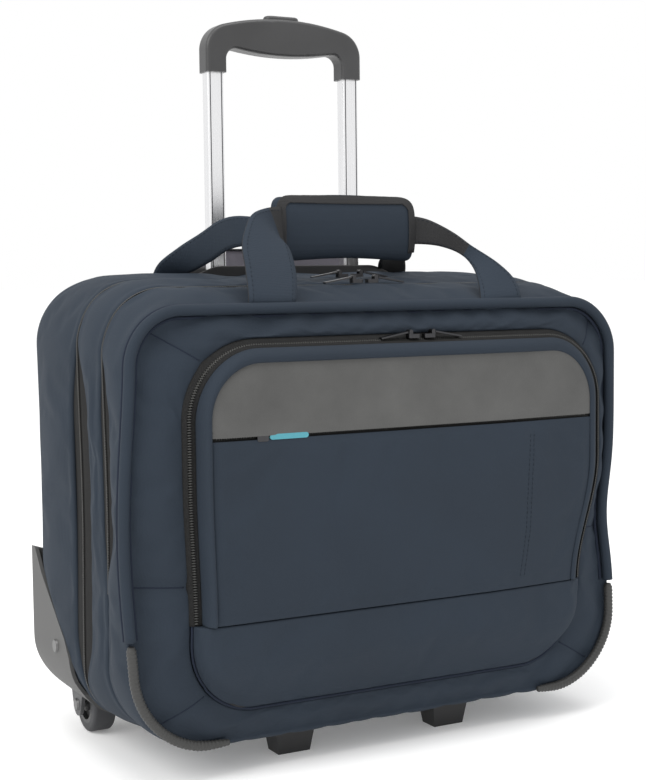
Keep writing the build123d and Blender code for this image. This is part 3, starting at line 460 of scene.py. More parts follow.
def moulded(name, colour, roughness=0.5, grain=900.0, specular=0.45):
    """Moulded plastic with a fine spark-eroded grain and slightly scuffed gloss."""
    plastic = Shader(name, roughness, specular=specular)
    fine = plastic.noise(grain, 3.0)
    slow = plastic.noise(22.0, 5.0)
    plastic.colour(plastic.ramp(slow, shade(colour, 0.88), shade(colour, 1.12), 0.3, 0.7))
    plastic.rough_range(slow, roughness - 0.07, roughness + 0.09)
    plastic.bump(fine, 0.12 * MM, 0.35)
    return plastic.material


def drawn_metal(name, colour, roughness, brushed=0.0, tint=0.06):
    """Metal with a slight change of tone; brushed draws fine lines along Z."""
    metal = Shader(name, roughness, metallic=1.0)
    stretch = metal.node("ShaderNodeMapping")
    stretch.inputs["Scale"].default_value = (900, 900, 6)
    metal.link(metal.place, stretch.inputs["Vector"])
    lines = metal.node("ShaderNodeTexNoise", Scale=1.0, Detail=3.0)
    metal.link(stretch.outputs["Vector"], lines.inputs["Vector"])
    metal.colour(metal.ramp(lines.outputs["Fac"], shade(colour, 1 - tint), shade(colour, 1 + tint), 0.3, 0.7))
    metal.rough_range(lines.outputs["Fac"], roughness * 0.85, roughness * 1.25)
    if brushed:
        metal.bump(lines.outputs["Fac"], 0.05 * MM, brushed)
    return metal.material


NAVY = (0.0188, 0.0270, 0.0392)
navy = woven("navy_weave", NAVY)
navy_strap = woven("navy_strap_weave", shade(NAVY, 1.08), thread=1.1 * MM, depth=0.16 * MM)
black_binding = woven("black_binding", (0.026, 0.026, 0.027), thread=1.2 * MM, depth=0.2 * MM, roughness=0.85)
black_mesh = woven("black_lining", (0.018, 0.018, 0.019), thread=0.8 * MM, roughness=0.7)
grey_lining = woven("grey_lining", (0.19, 0.18, 0.21), thread=0.8 * MM, roughness=0.75)
# painted shade: a darker navy for the thin cords that stand in for the shade in seams
painted_seam_shade = woven("seam_shadow", (0.012, 0.017, 0.030), thread=0.7 * MM, roughness=0.9, sheen=0.0)
stitch_thread = woven("stitch_thread", shade(NAVY, 0.75), thread=0.4 * MM, depth=0.2 * MM, sheen=0.1)
zip_tape = ribbed_tape("zip_tape_ribs", (0.016, 0.016, 0.016))
coil_plastic = moulded("coil_nylon", (0.030, 0.030, 0.028), roughness=0.42, grain=500.0)
leatherette = hide("leatherette_grain", (0.062, 0.062, 0.060))
guard_plastic = moulded("guard_moulding", (0.068, 0.068, 0.067), roughness=0.55)
dark_plastic = moulded("dark_moulding", (0.052, 0.053, 0.056), roughness=0.48)
black_plastic = moulded("black_moulding", (0.018, 0.018, 0.019), roughness=0.5)
grip_plastic = moulded("grip_moulding", (0.040, 0.040, 0.041), roughness=0.36)
bumper_rubber = moulded("bumper_rubber", (0.034, 0.034, 0.033), roughness=0.5, grain=600.0)
tyre_rubber = moulded("tyre_rubber", (0.040, 0.041, 0.045), roughness=0.62, grain=700.0)
board_plastic = moulded("board_sheet", (0.045, 0.045, 0.048), roughness=0.6, grain=300.0)
aluminium = drawn_metal("anodised_aluminium", (0.80, 0.80, 0.81), 0.27, brushed=0.25, tint=0.04)
# painted shade: dark metal for the strips that stand in for the pull tubes' grooves
painted_groove_shade = drawn_metal("tube_groove", (0.10, 0.10, 0.105), 0.45)
steel = drawn_metal("zinc_steel", (0.50, 0.50, 0.50), 0.35)
gunmetal = drawn_metal("gunmetal", (0.060, 0.060, 0.063), 0.32)
screw_metal = drawn_metal("blackened_screw", (0.16, 0.16, 0.16), 0.4)
teal = woven("teal_cord", (0.085, 0.30, 0.36), thread=0.7 * MM, depth=0.2 * MM, sheen=0.2)


# ---- seams: a dip in the cloth with a dark cord of painted shade lying in it ----------------------
def distance_to(points, path):
    """Distance in the XZ plane from each point to a run of straight stretches."""
    flat = np.asarray(points)[:, [0, 2]]
    path = np.asarray(path, float)
    best = np.full(len(flat), 1e9)
    for start, end in zip(path[:-1], path[1:]):
        run = end - start
        t = np.clip(((flat - start) @ run) / max(run @ run, 1e-12), 0, 1)
        best = np.minimum(best, np.linalg.norm(flat - start - t[:, None] * run, axis=1))
    return best


def on_surface(piece, path, direction=(0, 1, 0), step=2 * MM, sink=0.2 * MM, start=-0.2):
    """Points along an XZ path, moved onto the first surface met from in front."""
    bpy.context.view_layer.update()
    graph = bpy.context.evaluated_depsgraph_get()
    shown = piece.evaluated_get(graph)
    found = []
    for first, second in zip(path[:-1], path[1:]):
        length = math.dist(first, second)
        for k in range(max(2, int(length / step))):
            t = k / max(2, int(length / step))
            x = first[0] + (second[0] - first[0]) * t
            z = first[1] + (second[1] - first[1]) * t
            hit, place, normal, _ = shown.ray_cast(Vector((x, start, z)), Vector(direction))
            if hit:
                found.append(place - normal * sink)
    return found


def seam_line(name, piece, path, radius=0.55 * MM, sink=0.1 * MM, material=None):
    """A dark line of painted seam shade on a surface."""
    points = on_surface(piece, path, sink=sink)
    thread = sweep(name, points, round_section(radius, 6), up=(0, -1, 0))
    return paint(thread, material or painted_seam_shade)


def stitches(name, points, normals, length=2.8 * MM, gap=1.0 * MM, radius=0.28 * MM):
    """A row of single stitches along points, each a small tapered capsule."""
    points = np.array(points, float)
    normals = np.array(normals, float)
    if normals.ndim == 1:
        normals = np.repeat(normals[None], len(points), 0)
    steps = np.linalg.norm(np.diff(points, axis=0), axis=1)
    along = np.concatenate([[0], np.cumsum(steps)])
    verts, faces = [], []
    position = gap
    while position + length < along[-1]:
        ends = []
        for share in (0.0, 0.5, 1.0):
            here = position + length * share
            place = np.array([np.interp(here, along, points[:, k]) for k in range(3)])
            normal = np.array([np.interp(here, along, normals[:, k]) for k in range(3)])
            ends.append((place, normal / max(np.linalg.norm(normal), 1e-9)))
        run = ends[2][0] - ends[0][0]
        run /= max(np.linalg.norm(run), 1e-9)
        first = len(verts)
        for (place, normal), width, lift in zip(ends, (0.4, 1.0, 0.4), (-0.2, 0.5, -0.2)):
            side = np.cross(run, normal)
            for turn in range(5):
                angle = math.radians(72 * turn)
                verts.append(place + radius * width * math.cos(angle) * side
                             + radius * (width * math.sin(angle) + lift) * normal)
        for ring in range(2):
            for turn in range(5):
                a, b = first + ring * 5 + turn, first + ring * 5 + (turn + 1) % 5
                faces.append((a, b, b + 5, a + 5))
        faces.append(tuple(first + t for t in range(5))[::-1])
        faces.append(tuple(first + 10 + t for t in range(5)))
        position += length + gap
    return paint(new_mesh(name, verts, faces), stitch_thread)


# ---- zips: a tape on each side and a coil of small loops ------------------------------------------
COIL_PITCH = 1.9 * MM
COIL_WIDTH = 2.2 * MM
COIL_RADIUS = 0.62 * MM


def coil_half(name, points, inward, normals, phase=0.5):
    """Half of a zip's coil: a row of loops whose heads point inward."""
    points = np.array(points, float)
    inward = np.broadcast_to(np.array(inward, float), points.shape)
    normals = np.broadcast_to(np.array(normals, float), points.shape)
    steps = np.linalg.norm(np.diff(points, axis=0), axis=1)
    along = np.concatenate([[0], np.cumsum(steps)])
    count = int(along[-1] / COIL_PITCH)
    verts, faces = [], []
    profile = ((-0.9, 0.55), (-0.1, 0.95), (0.65, 1.1), (1.0, 0.5))
    for k in range(count):
        here = (k + phase) * COIL_PITCH
        place, toward, normal = (np.array([np.interp(here, along, data[:, j]) for j in range(3)])
                                 for data in (points, inward, normals))
        normal = normal / max(np.linalg.norm(normal), 1e-9)
        toward = toward / max(np.linalg.norm(toward), 1e-9)
        run = np.cross(normal, toward)
        first = len(verts)
        for reach, thick in profile:
            for turn in range(6):
                angle = math.radians(60 * turn)
                verts.append(place + COIL_WIDTH * 0.5 * reach * toward
                             + COIL_RADIUS * thick * (math.cos(angle) * run + math.sin(angle) * normal))
        for ring in range(len(profile) - 1):
            for turn in range(6):
                a, b = first + ring * 6 + turn, first + ring * 6 + (turn + 1) % 6
                faces.append((a, b, b + 6, a + 6))
        faces.append(tuple(first + t for t in range(6))[::-1])
        faces.append(tuple(first + (len(profile) - 1) * 6 + t for t in range(6)))
    return paint(new_mesh(name, verts, faces), coil_plastic)


# ---- how far each zip gapes between its rolled edges of cloth -------------------------------------
MAIN_GAPE = 18.5 * MM
LID_GAPE = 10.5 * MM
TOP_GAPE = 3.7 * MM
MAIN_LOW = 0.039
LID_LOW = FOLD_Z + 5 * MM
GAPE_TOP = 0.322


def gape(points, widest, low):
    """Half width of the opening at each outline point: a long lens on the sides, a slit on top."""
    z = points[:, 1]
    lens = smooth_step(z, low, low + 0.055) * (1 - smooth_step(z, GAPE_TOP - 0.06, GAPE_TOP + 0.012))
    slit = 0.7 * MM * smooth_step(z, low, low + 0.02)
    on_top = TOP_GAPE * smooth_step(z, CASE_TOP - 0.014, CASE_TOP - 0.003)
    return np.maximum(lens * widest, np.maximum(slit, on_top))


main_gape = gape(SIDE_ROWS, MAIN_GAPE, MAIN_LOW)
lid_gape = gape(SIDE_ROWS, LID_GAPE, LID_LOW)


def seam_run(side_y, slider):
    """Depth of a zip's middle at each outline point: over the top it runs under its sliders."""
    slider_y = (edge(slider, 1) + edge(slider, 1, False)) / 2
    return side_y + (slider_y - side_y) * smooth_step(SIDE_ROWS[:, 1], GAPE_TOP + 0.008, CASE_TOP - 0.004)


main_seam = seam_run(MAIN_Y - 1 * MM, "main_zip_left_slider")
lid_seam = seam_run(LID_SEAM_Y, "lid_zip_left_slider")

# rows near a free edge of cloth: how far in from the edge, and how far out of the wall's face
ROLLED_EDGE = ((0.6, -3.6), (0.0, -2.2), (0.2, -0.9), (1.1, 0.2), (2.6, 0.9), (5.0, 1.0), (8.0, 0.7))


def band_rows(y_front, y_back, front_edge, back_edge, puff, count):
    """Depths and lifts of the rows of a band between two edges of cloth, one column per outline
    point. puff is how far the padding stands out in the middle."""
    columns = len(y_front)
    depths, lifts = [], []
    for inset, lift in front_edge:
        depths.append(y_front + inset * MM)
        lifts.append(np.full(columns, lift * MM))
    first = y_front + front_edge[-1][0] * MM
    last = y_back - back_edge[-1][0] * MM
    for k in range(1, count):
        share = k / count
        depths.append(first + (last - first) * share)
        swell = puff * math.sin(math.pi * share) ** 0.7
        lift = front_edge[-1][1] * (1 - share) + back_edge[-1][1] * share
        lifts.append(np.full(columns, lift * MM + swell))
    for inset, lift in back_edge[::-1]:
        depths.append(y_back - inset * MM)
        lifts.append(np.full(columns, lift * MM))
    return np.array(depths), np.array(lifts)


def wrinkled(grid, normals, amount, size, seed):
    """Move grid points along their normals by slow noise."""
    flat = grid.reshape(-1, 3)
    field = rough_field(flat, size, seed) * 0.7 + rough_field(flat, size * 0.4, seed + 5) * 0.3
    return grid + (field * amount).reshape(grid.shape[:2])[..., None] * normals


def side_pinch(points, depth, amount=4.5 * MM):
    """How far the sides draw in at mid height, on the right more than on the left."""
    z = points[:, 1]
    middle = np.sin(np.pi * np.clip((z - 0.07) / 0.25, 0, 1)) ** 2
    side = np.where(points[:, 0] > 0, 1.0, 0.35)
    at_side = smooth_step(np.abs(points[:, 0]), CASE_HALF - 0.03, CASE_HALF)
    return -amount * middle * side * at_side * depth


def band_grid(depths, lifts, seed, amount=0.7 * MM, pinch=1.0, leaning=False):
    """The surface of a band of cloth round the case; a leaning one takes up the front's sway."""
    rows = []
    normal_rows = []
    for depth, lift in zip(depths, lifts):
        middle = float(np.median(depth))
        shape = case_outline(middle)
        normal = outward(shape)
        lean = (LID_SEAM_Y - middle) / (LID_SEAM_Y - FRONT_Y) if leaning else 0.0
        lean = min(max(lean, 0.0), 1.0)
        moved = shape + normal * (lift + side_pinch(shape, pinch * (1 - lean)))[:, None]
        moved = swayed(moved, lean)
        rows.append(at_depth(moved, depth))
        normal_rows.append(at_depth(normal, 0.0))
    return wrinkled(np.array(rows), np.array(normal_rows), amount, 0.06, seed)


def drop_faces(piece, low, high):
    """Open a hole: delete the faces whose middle lies in a box."""
    made = bmesh.new()
    made.from_mesh(piece.data)
    doomed = []
    for face in made.faces:
        middle = face.calc_center_median()
        if all(low[k] < middle[k] < high[k] for k in range(3)):
            doomed.append(face)
    bmesh.ops.delete(made, geom=doomed, context="FACES")
    made.to_mesh(piece.data)
    made.free()


# ---- cloth simulation -----------------------------------------------------------------------------
SIM_FRAMES = 14


def swell(piece, pinned, pressure=1.6, slack=0.012, cap=4 * MM, gravity=0.0, stiffness=25.0):
    """Let a sheet of cloth with a little spare length fill out under slight pressure, held at its
    pinned points (1 held, 0 free), then keep the result; no point moves further than cap."""
    before = np.array([v.co for v in piece.data.vertices])
    group = piece.vertex_groups.new(name="held")
    for index, weight in enumerate(pinned):
        if weight > 0:
            group.add([index], float(weight), "REPLACE")
    cloth = piece.modifiers.new("fill", "CLOTH")
    settings = cloth.settings
    settings.quality = 5
    settings.mass = 0.3
    settings.tension_stiffness = stiffness
    settings.compression_stiffness = stiffness
    settings.shear_stiffness = 8.0
    settings.bending_stiffness = 1.2
    settings.air_damping = 4.0
    settings.shrink_min = -slack
    settings.use_pressure = True
    settings.uniform_pressure_force = pressure
    settings.vertex_group_mass = "held"
    settings.effector_weights.gravity = gravity
    cloth.collision_settings.use_collision = False
    cloth.collision_settings.use_self_collision = False
    cloth.point_cache.frame_start = 1
    cloth.point_cache.frame_end = SIM_FRAMES
    scene = bpy.context.scene
    for number in range(1, SIM_FRAMES + 1):
        scene.frame_set(number)
    shown = piece.evaluated_get(bpy.context.evaluated_depsgraph_get())
    after = np.array([v.co for v in shown.data.vertices])
    piece.modifiers.remove(cloth)
    scene.frame_set(1)
    moved = after - before
    length = np.linalg.norm(moved, axis=1)
    moved *= np.minimum(1.0, cap / np.maximum(length, 1e-9))[:, None]
    moved[~np.isfinite(moved).all(axis=1)] = 0
    piece.data.vertices.foreach_set("co", (before + moved).ravel())
    piece.data.update()
    piece.vertex_groups.clear()
    return piece


def finish_cloth(piece, thickness, inside, subdivide=1):
    """Give a swollen sheet its thickness and lining, and smooth it."""
    thicken(piece, thickness, inside)
    if subdivide:
        soft = piece.modifiers.new("smooth", "SUBSURF")
        soft.levels = soft.render_levels = subdivide
    return piece


def edge_pins(rows, columns, held_rows, extra=None):
    """Weights for a grid's points: 1 on the rows that are sewn down."""
    weights = np.zeros((rows, columns))
    for row in held_rows:
        weights[row] = 1.0
    if extra is not None:
        weights = np.maximum(weights, extra)
    return weights.ravel()


# ---- rear section ---------------------------------------------------------------------------------
LINING = 2.4 * MM
COLUMN_Z = SIDE_ROWS[:, 1]


def guard_share(points, depth):
    """1 where an outline point at a given depth lies under a corner guard, 0 where it is free."""
    low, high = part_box("corner_guard_left")
    foot_z = low.z + 0.03
    climb = np.clip((points[:, 1] - foot_z) / (high.z - foot_z), 0, 1)
    front = low.y + (high.y - low.y) * climb
    behind = smooth_step(depth - front, -9 * MM, 0)
    below = 1 - smooth_step(points[:, 1], high.z, high.z + 6 * MM)
    return behind * below * smooth_step(np.abs(points[:, 0]), 0.13, 0.145)


def rear_skin():
    """The padded rear section: a band round the case that turns into the back panel."""
    front = main_seam + np.maximum(main_gape, 0.4 * MM)
    corner = 13 * MM
    back = np.full(COLUMNS, REAR_Y - corner)
    depths, lifts = band_rows(front, back, ROLLED_EDGE, ((0.0, 0.4),), 2.5 * MM, 17)
    # the corner guards press the padding flat
    under_guard = np.array([guard_share(SIDE_ROWS, depth) for depth in depths])
    lifts = lifts * (1 - under_guard) - 0.9 * MM * under_guard
    grid = band_grid(depths, lifts, seed=3, pinch=0.5)
    # the lower back edge is cut away on a large radius, so the outline rises towards the back
    rise = np.zeros(grid.shape[:2])
    for row, depth in enumerate(depths):
        past = np.clip((depth - (REAR_Y - BACK_BOTTOM_RADIUS)) / BACK_BOTTOM_RADIUS, 0, 0.999)
        rise[row] = BACK_BOTTOM_RADIUS * (1 - np.sqrt(1 - past ** 2))
    lowest = CASE_BOTTOM + rise
    grid[..., 2] = np.maximum(grid[..., 2], lowest)
    rows = [grid[k] for k in range(len(grid))]
    last = rows[-1]
    centre = np.array([0.0, 0.0, (CASE_TOP + CASE_BOTTOM) / 2 + 20 * MM])
    for turn in (22, 45, 68, 90):
        angle = math.radians(turn)
        inset = corner * (1 - math.cos(angle))
        ring = last.copy()
        scale = 1 - inset / CASE_HALF
        ring[:, 0] = last[:, 0] * scale
        ring[:, 2] = centre[2] + (last[:, 2] - centre[2]) * (1 - inset / (0.5 * (CASE_TOP - CASE_BOTTOM)))
        ring[:, 1] = last[:, 1] + corner * math.sin(angle)
        rows.append(ring)
    edge_ring = rows[-1]
    for share in (0.94, 0.85, 0.74, 0.62, 0.5, 0.38, 0.26, 0.14, 0.03):
        ring = edge_ring.copy()
        ring[:, 0] = edge_ring[:, 0] * share
        ring[:, 2] = centre[2] + (edge_ring[:, 2] - centre[2]) * share
        ring[:, 1] = edge_ring[:, 1] + 1.6 * MM * (1 - share ** 2)
        rows.append(ring)
    grid = np.array(rows)
    piece = grid_piece("rear_skin", grid, wrap=True, flip=True)
    held = list(range(5)) + list(range(len(depths) - 1, len(depths) + 4))
    pressed = np.zeros((len(rows), COLUMNS))
    pressed[:len(depths)] = under_guard
    pressed[len(depths):] = under_guard[-1]
    swell(piece, edge_pins(len(rows), COLUMNS, held, pressed), pressure=1.2, slack=0.006, cap=3 * MM)
    tyre_low, tyre_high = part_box("wheel_tyre_right")
    for side in (-1, 1):
        xs = sorted(side * x for x in (tyre_low.x - 5 * MM, tyre_high.x + 5 * MM))
        drop_faces(piece, (xs[0], edge("wheel_housings", 1, False) + 2 * MM, -1),
                   (xs[1], edge("wheel_housings", 1) - 2 * MM, edge("wheel_housings", 2) - 3 * MM))
    well_low, well_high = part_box("well_tray")
    drop_faces(piece, (well_low.x + 2 * MM, well_low.y + 2 * MM, CASE_TOP - 15 * MM),
               (well_high.x - 2 * MM, well_high.y - 2 * MM, 1))
    paint(piece, navy)
    finish_cloth(piece, LINING, black_mesh)
    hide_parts("rear_shell")
    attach(piece, "case")
    return piece


# ---- middle section -------------------------------------------------------------------------------
def middle_skin():
    """The padded middle section between the two zips."""
    front = lid_seam + np.maximum(lid_gape, 0.3 * MM)
    back = main_seam - np.maximum(main_gape, 0.4 * MM)
    depths, lifts = band_rows(front, back, ROLLED_EDGE, ROLLED_EDGE, 1.6 * MM, 9)
    grid = band_grid(depths, lifts, seed=8)
    piece = grid_piece("middle_skin", grid, wrap=True, flip=True)
    rows = len(grid)
    swell(piece, edge_pins(rows, COLUMNS, list(range(4)) + list(range(rows - 4, rows))),
          pressure=1.2, slack=0.006, cap=3 * MM)
    paint(piece, navy)
    finish_cloth(piece, LINING, black_mesh)
    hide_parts("middle_shell")
    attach(piece, "middle")
    return piece


def middle_wall():
    """The lined wall between the laptop compartment and the rear section."""
    y = edge("middle_shell", 1) - WALL / 2
    rim = case_outline(y, WALL)
    middle = (rim[:, 1].max() + rim[:, 1].min()) / 2
    rows = []
    for share in (1.0, 0.97, 0.9, 0.8, 0.66, 0.5, 0.33, 0.16, 0.02):
        ring = rim.copy()
        ring[:, 0] *= share
        ring[:, 1] = middle + (rim[:, 1] - middle) * share
        rows.append(at_depth(ring, y + 0.4 * MM * math.cos(7 * share)))
    piece = grid_piece("middle_wall_lining", np.array(rows), wrap=True)
    paint(piece, grey_lining)
    thicken(piece, WALL * 0.8, offset=0.0)
    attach(piece, "middle")


# ---- zip tapes of the two big zips ----------------------------------------------------------------
def tape_half(name, body, seam, side, gape_width, low):
    """One half of a big zip: the tape from under the rolled edge to the seam, and its coil.
    side is 1 behind the seam and -1 in front of it."""
    keep = COLUMN_Z > low - 2 * MM
    order = np.roll(np.arange(COLUMNS), -int(np.argmax(keep)))
    order = order[keep[order]]
    whole = case_outline(float(np.median(seam)))
    shape, normal = whole[order], outward(whole)[order]
    middle = seam[order]
    pinch = side_pinch(shape, 1.0)
    reach = np.maximum(gape_width[order], 1.2 * MM) + 3 * MM
    rows = []
    for share, lift in ((1.0, -2.2), (0.62, -1.4), (0.3, -0.8), (0.0, -0.6)):
        flat = shape + normal * (lift * MM + pinch)[:, None]
        rows.append(at_depth(flat, middle + side * (0.35 * MM + reach * share)))
    tape = paint(grid_piece(name, np.array(rows), flip=side < 0), zip_tape)
    thicken(tape, 0.6 * MM)
    line = at_depth(shape + normal * (-0.1 * MM + pinch)[:, None], middle + side * 0.75 * MM)
    coil = coil_half(name + "_coil", line, (0, -side, 0), at_depth(normal, 0.0), phase=0.5 + 0.25 * side)
    for piece in (tape, coil):
        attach(piece, body)
    return tape


def big_zips():
    rear = tape_half("main_zip_rear_tape", "case", main_seam, 1, main_gape, MAIN_LOW)
    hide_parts("main_zip_tape")
    tape_half("main_zip_front_tape", "middle", main_seam, -1, main_gape, MAIN_LOW)
    behind = tape_half("lid_zip_rear_tape", "middle", lid_seam, 1, lid_gape, LID_LOW)
    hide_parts("lid_zip_tape")
    tape_half("lid_zip_front_tape", "lid", lid_seam, -1, lid_gape, LID_LOW)


# ---- front section: side gusset and front panel in one cloth that folds above the lower band ------
PANEL_CROWN = 3.0 * MM
PANEL_REACH = 10 * MM       # how far forward the panel stands where it meets the pocket's zip
PANEL_FOOT = 3 * MM         # and where it meets the lower edge of the band
ZIP_MARGIN = 2.2 * MM
ZIP_RISE = 5.2 * MM


def panel_reach(z):
    """How far the panel stands forward at its inner edge, at height z."""
    return PANEL_FOOT + (PANEL_REACH - PANEL_FOOT) * smooth_step(z, BAND_LOW + 10 * MM, FOLD_Z)


def pocket_ring():
    """The outline on the front panel inside which the pocket and the lower band sit."""
    ring = outline(POCKET_HALF + ZIP_MARGIN, BAND_LOW - 3 * MM, POCKET_TOP + ZIP_RISE, 58 * MM,
                   POCKET_RADIUS + 4 * MM)
    ring[:, 0] = sagged(ring[:, 0], ring[:, 1])
    return ring


def corner_seams():
    """The four diagonal seams of the front panel, each from the piping to the pocket."""
    outer = swayed(case_outline(FRONT_Y, 6 * MM))
    inner = pocket_ring()
    for name, sign_x, high in (("top_left", -1, True), ("top_right", 1, True),
                               ("bottom_left", -1, False), ("bottom_right", 1, False)):
        aim = np.array([sign_x * 1.0, 1.0 if high else -1.0])
        near = [points[np.argmax((points - (0, 0.19)) @ aim)] for points in (outer, inner)]
        yield name, [tuple(near[0]), tuple(near[1])]


def level_seams():
    """The short level seams beside the pocket, a little over the fold."""
    height = FOLD_Z + 30 * MM
    for name, sign in (("left", -1), ("right", 1)):
        inner = float(sagged(sign * (POCKET_HALF + ZIP_MARGIN), height))
        ends = np.array([(sign * (CASE_HALF - 4 * MM), height + (sign + 1) * 4 * MM)])
        yield name, [tuple(swayed(ends)[0]), (inner, height - 2 * MM + (sign + 1) * 6 * MM)]


def front_skin():
    back = lid_seam - np.maximum(lid_gape, 0.8 * MM)
    front = np.full(COLUMNS, PIPING_Y + 2.0 * MM)
    depths, lifts = band_rows(front, back, ((0.0, -3.0), (0.4, -1.6), (1.4, -0.4), (3.5, 0.1)), ROLLED_EDGE,
                              1.2 * MM, 8)
    gusset = band_grid(depths, lifts, seed=14, leaning=True)
    outer = swayed(case_outline(FRONT_Y, PIPING_INSET + 2.0 * MM))
    inner = pocket_ring()
    reach = panel_reach(inner[:, 1])
    rows = []
    for share in (0.0, 0.05, 0.11, 0.19, 0.3, 0.42, 0.54, 0.66, 0.78, 0.88, 0.95, 1.0):
        flat = outer + (inner - outer) * share
        rise = smooth_step(share, 0.14, 1.15) / smooth_step(1.0, 0.14, 1.15)
        crown = PANEL_CROWN * math.sin(math.pi * max(share - 0.14, 0.0) / 0.86)
        rows.append(at_depth(flat, FRONT_Y - 0.5 * MM - reach * rise - crown))
    # the edge of the panel rolls in to the zip
    for inset, back in ((0.9, 0.4), (1.5, 1.6), (1.6, 3.4)):
        shrunk = inner - outward(inner) * inset * MM
        rows.append(at_depth(shrunk, FRONT_Y - 0.5 * MM - reach + back * MM))
    middle = (inner[:, 1].max() + inner[:, 1].min()) / 2
    for share in (0.97, 0.93, 0.8, 0.64, 0.46, 0.28, 0.1, 0.02):
        ring = inner.copy()
        ring[:, 0] *= share
        ring[:, 1] = middle + (inner[:, 1] - middle) * share
        rows.append(at_depth(ring, FRONT_Y - 0.3 * MM))
    panel = np.array(rows[::-1])
    grid = np.concatenate([panel, gusset])
    normals = np.zeros_like(panel)
    normals[..., 1] = -1.0
    grid[:len(panel)] = wrinkled(panel, normals, 0.6 * MM, 0.05, 21)
    # seams draw the padding in
    flat = grid[:len(panel)].reshape(-1, 3)
    dip = np.zeros(len(flat))
    for _, path in list(corner_seams()) + list(level_seams()):
        dip += 2.2 * MM * np.exp(-(distance_to(flat, path) / (4 * MM)) ** 2)
    grid[:len(panel), :, 1] += dip.reshape(len(panel), COLUMNS)
    piece = grid_piece("front_skin", grid, wrap=True, flip=True)
    rows_total = len(grid)
    ring_inner, ring_outer = 11, len(panel) - 1
    held = list(range(ring_inner + 1)) + [ring_outer, ring_outer + 1]
    held += list(range(rows_total - 4, rows_total))
    seam_hold = np.zeros((rows_total, COLUMNS))
    seam_hold[:len(panel)] = np.clip(dip.reshape(len(panel), COLUMNS) / (2.2 * MM), 0, 1) ** 0.5
    swell(piece, edge_pins(rows_total, COLUMNS, held, seam_hold), pressure=1.6, slack=0.010, cap=3.5 * MM)
    paint(piece, navy)
    finish_cloth(piece, LINING, black_mesh)
    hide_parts("lid_shell", "front_base")
    # the dark line along each seam is painted shade in the seam's dip
    for name, path in list(corner_seams()) + list(level_seams()):
        thread = seam_line(f"seam_{name}", piece, path)
        body = "lid" if path[0][1] > FOLD_Z + 10 * MM else "middle"
        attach(thread, body)
    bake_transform(piece)
    return piece


# ---- piping and ribbed corner bumpers -------------------------------------------------------------
def piping():
    path = swayed(case_outline(FRONT_Y, PIPING_INSET))
    above = path[:, 1] > FOLD_Z - 12 * MM
    points = path[above]
    cord = sweep("navy_piping", at_depth(points, PIPING_Y), round_section(PIPING_RADIUS, 14), up=(0, -1, 0))
    paint(cord, navy)
    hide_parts("front_piping")
    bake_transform(cord)
    # painted shade: dark lines along the seams where the cord meets the panel and the gusset
    for name, inset, behind in (("panel", PIPING_INSET + 5.6 * MM, 3.2 * MM), ("gusset", 0.0, 3.8 * MM)):
        line = swayed(case_outline(FRONT_Y, inset))
        line = line[line[:, 1] > FOLD_Z - 12 * MM]
        seam = sweep(f"piping_seam_shade_{name}", at_depth(line, PIPING_Y + behind), round_section(1.4 * MM, 8),
                     up=(0, -1, 0))
        paint(seam, painted_seam_shade)
        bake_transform(seam)
    # the sewn flange of the piping, a thin raised edge just behind the cord
    flange_path = swayed(case_outline(FRONT_Y, 0.8 * MM))
    flange_path = flange_path[flange_path[:, 1] > FOLD_Z - 12 * MM]
    flange = sweep("piping_flange", at_depth(flange_path, PIPING_Y + 5.6 * MM), round_section(1.5 * MM, 8),
                   up=(0, -1, 0))
    paint(flange, navy_strap)
    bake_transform(flange)


BUMPER_RADIUS = 3.7 * MM


def bumpers():
    """Ribbed soft bumpers round the lower front corners."""
    reach = edge("corner_bumpers", 0) - PIPING_RADIUS
    inner_end = 138 * MM
    made = []
    for side in (-1, 1):
        low = CASE_BOTTOM + PIPING_INSET
        radius = BOTTOM_RADIUS - PIPING_INSET
        points = [(reach, FOLD_Z - 11 * MM), (reach, low + radius)]
        points = [points[0]] + straight(points[0], points[1], 14)
        points += arc(reach - radius, low + radius, radius, 0, -90, 60)
        points += straight((reach - radius, low), (inner_end, low), 8) + [(inner_end, low)]
        flat = swayed(np.array([(side * x, z) for x, z in points]))
        path = at_depth(flat, PIPING_Y)
        steps = np.concatenate([[0], np.cumsum(np.linalg.norm(np.diff(path, axis=0), axis=1))])
        fine = np.arange(0, steps[-1], 0.75 * MM)
        path = np.stack([np.interp(fine, steps, path[:, k]) for k in range(3)], 1)
        ends = np.minimum(1.0, np.minimum(fine / (4 * MM), (fine[-1] - fine) / (22 * MM)))
        rib = 0.5 + 0.5 * np.cos(2 * math.pi * fine / (3 * MM))
        turns = np.linspace(0, 2 * math.pi, 16, endpoint=False)
        sections = []
        for share, wave in zip(ends, rib):
            radius_here = BUMPER_RADIUS * (0.55 + 0.45 * math.sqrt(share)) * (0.90 + 0.16 * wave)
            ring = [(radius_here * math.cos(t), radius_here * math.sin(t)) for t in turns]
            sections.append(ring)
        made.append(sweep(f"bumper_{side}", path, sections, up=(0, -1, 0)))
    piece = join("ribbed_bumpers", made)
    paint(piece, bumper_rubber)
    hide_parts("corner_bumpers")
    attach(piece, "middle")


# ---- lower band -----------------------------------------------------------------------------------
def band_half(z):
    """Half width of the lower band at height z: rounded lower corners."""
    radius = 56 * MM
    full = POCKET_HALF - 1 * MM
    if z >= BAND_LOW + radius:
        return full
    return full - radius + math.sqrt(max(radius ** 2 - (BAND_LOW + radius - z) ** 2, 0))


def band_depth(z, across):
    """How far the padded band stands out from the front panel."""
    height = np.array([z])
    middle = 4 * MM + 21.3 * MM * smooth_step(height, BAND_LOW - 2 * MM, BAND_LOW + 44 * MM)[0]
    edge_depth = panel_reach(height)[0] + 1.2 * MM
    side = math.sqrt(1 - min(max((across - 0.90) / 0.10, 0.0), 1.0) ** 2)
    return edge_depth + max(middle - edge_depth, 0.0) * side


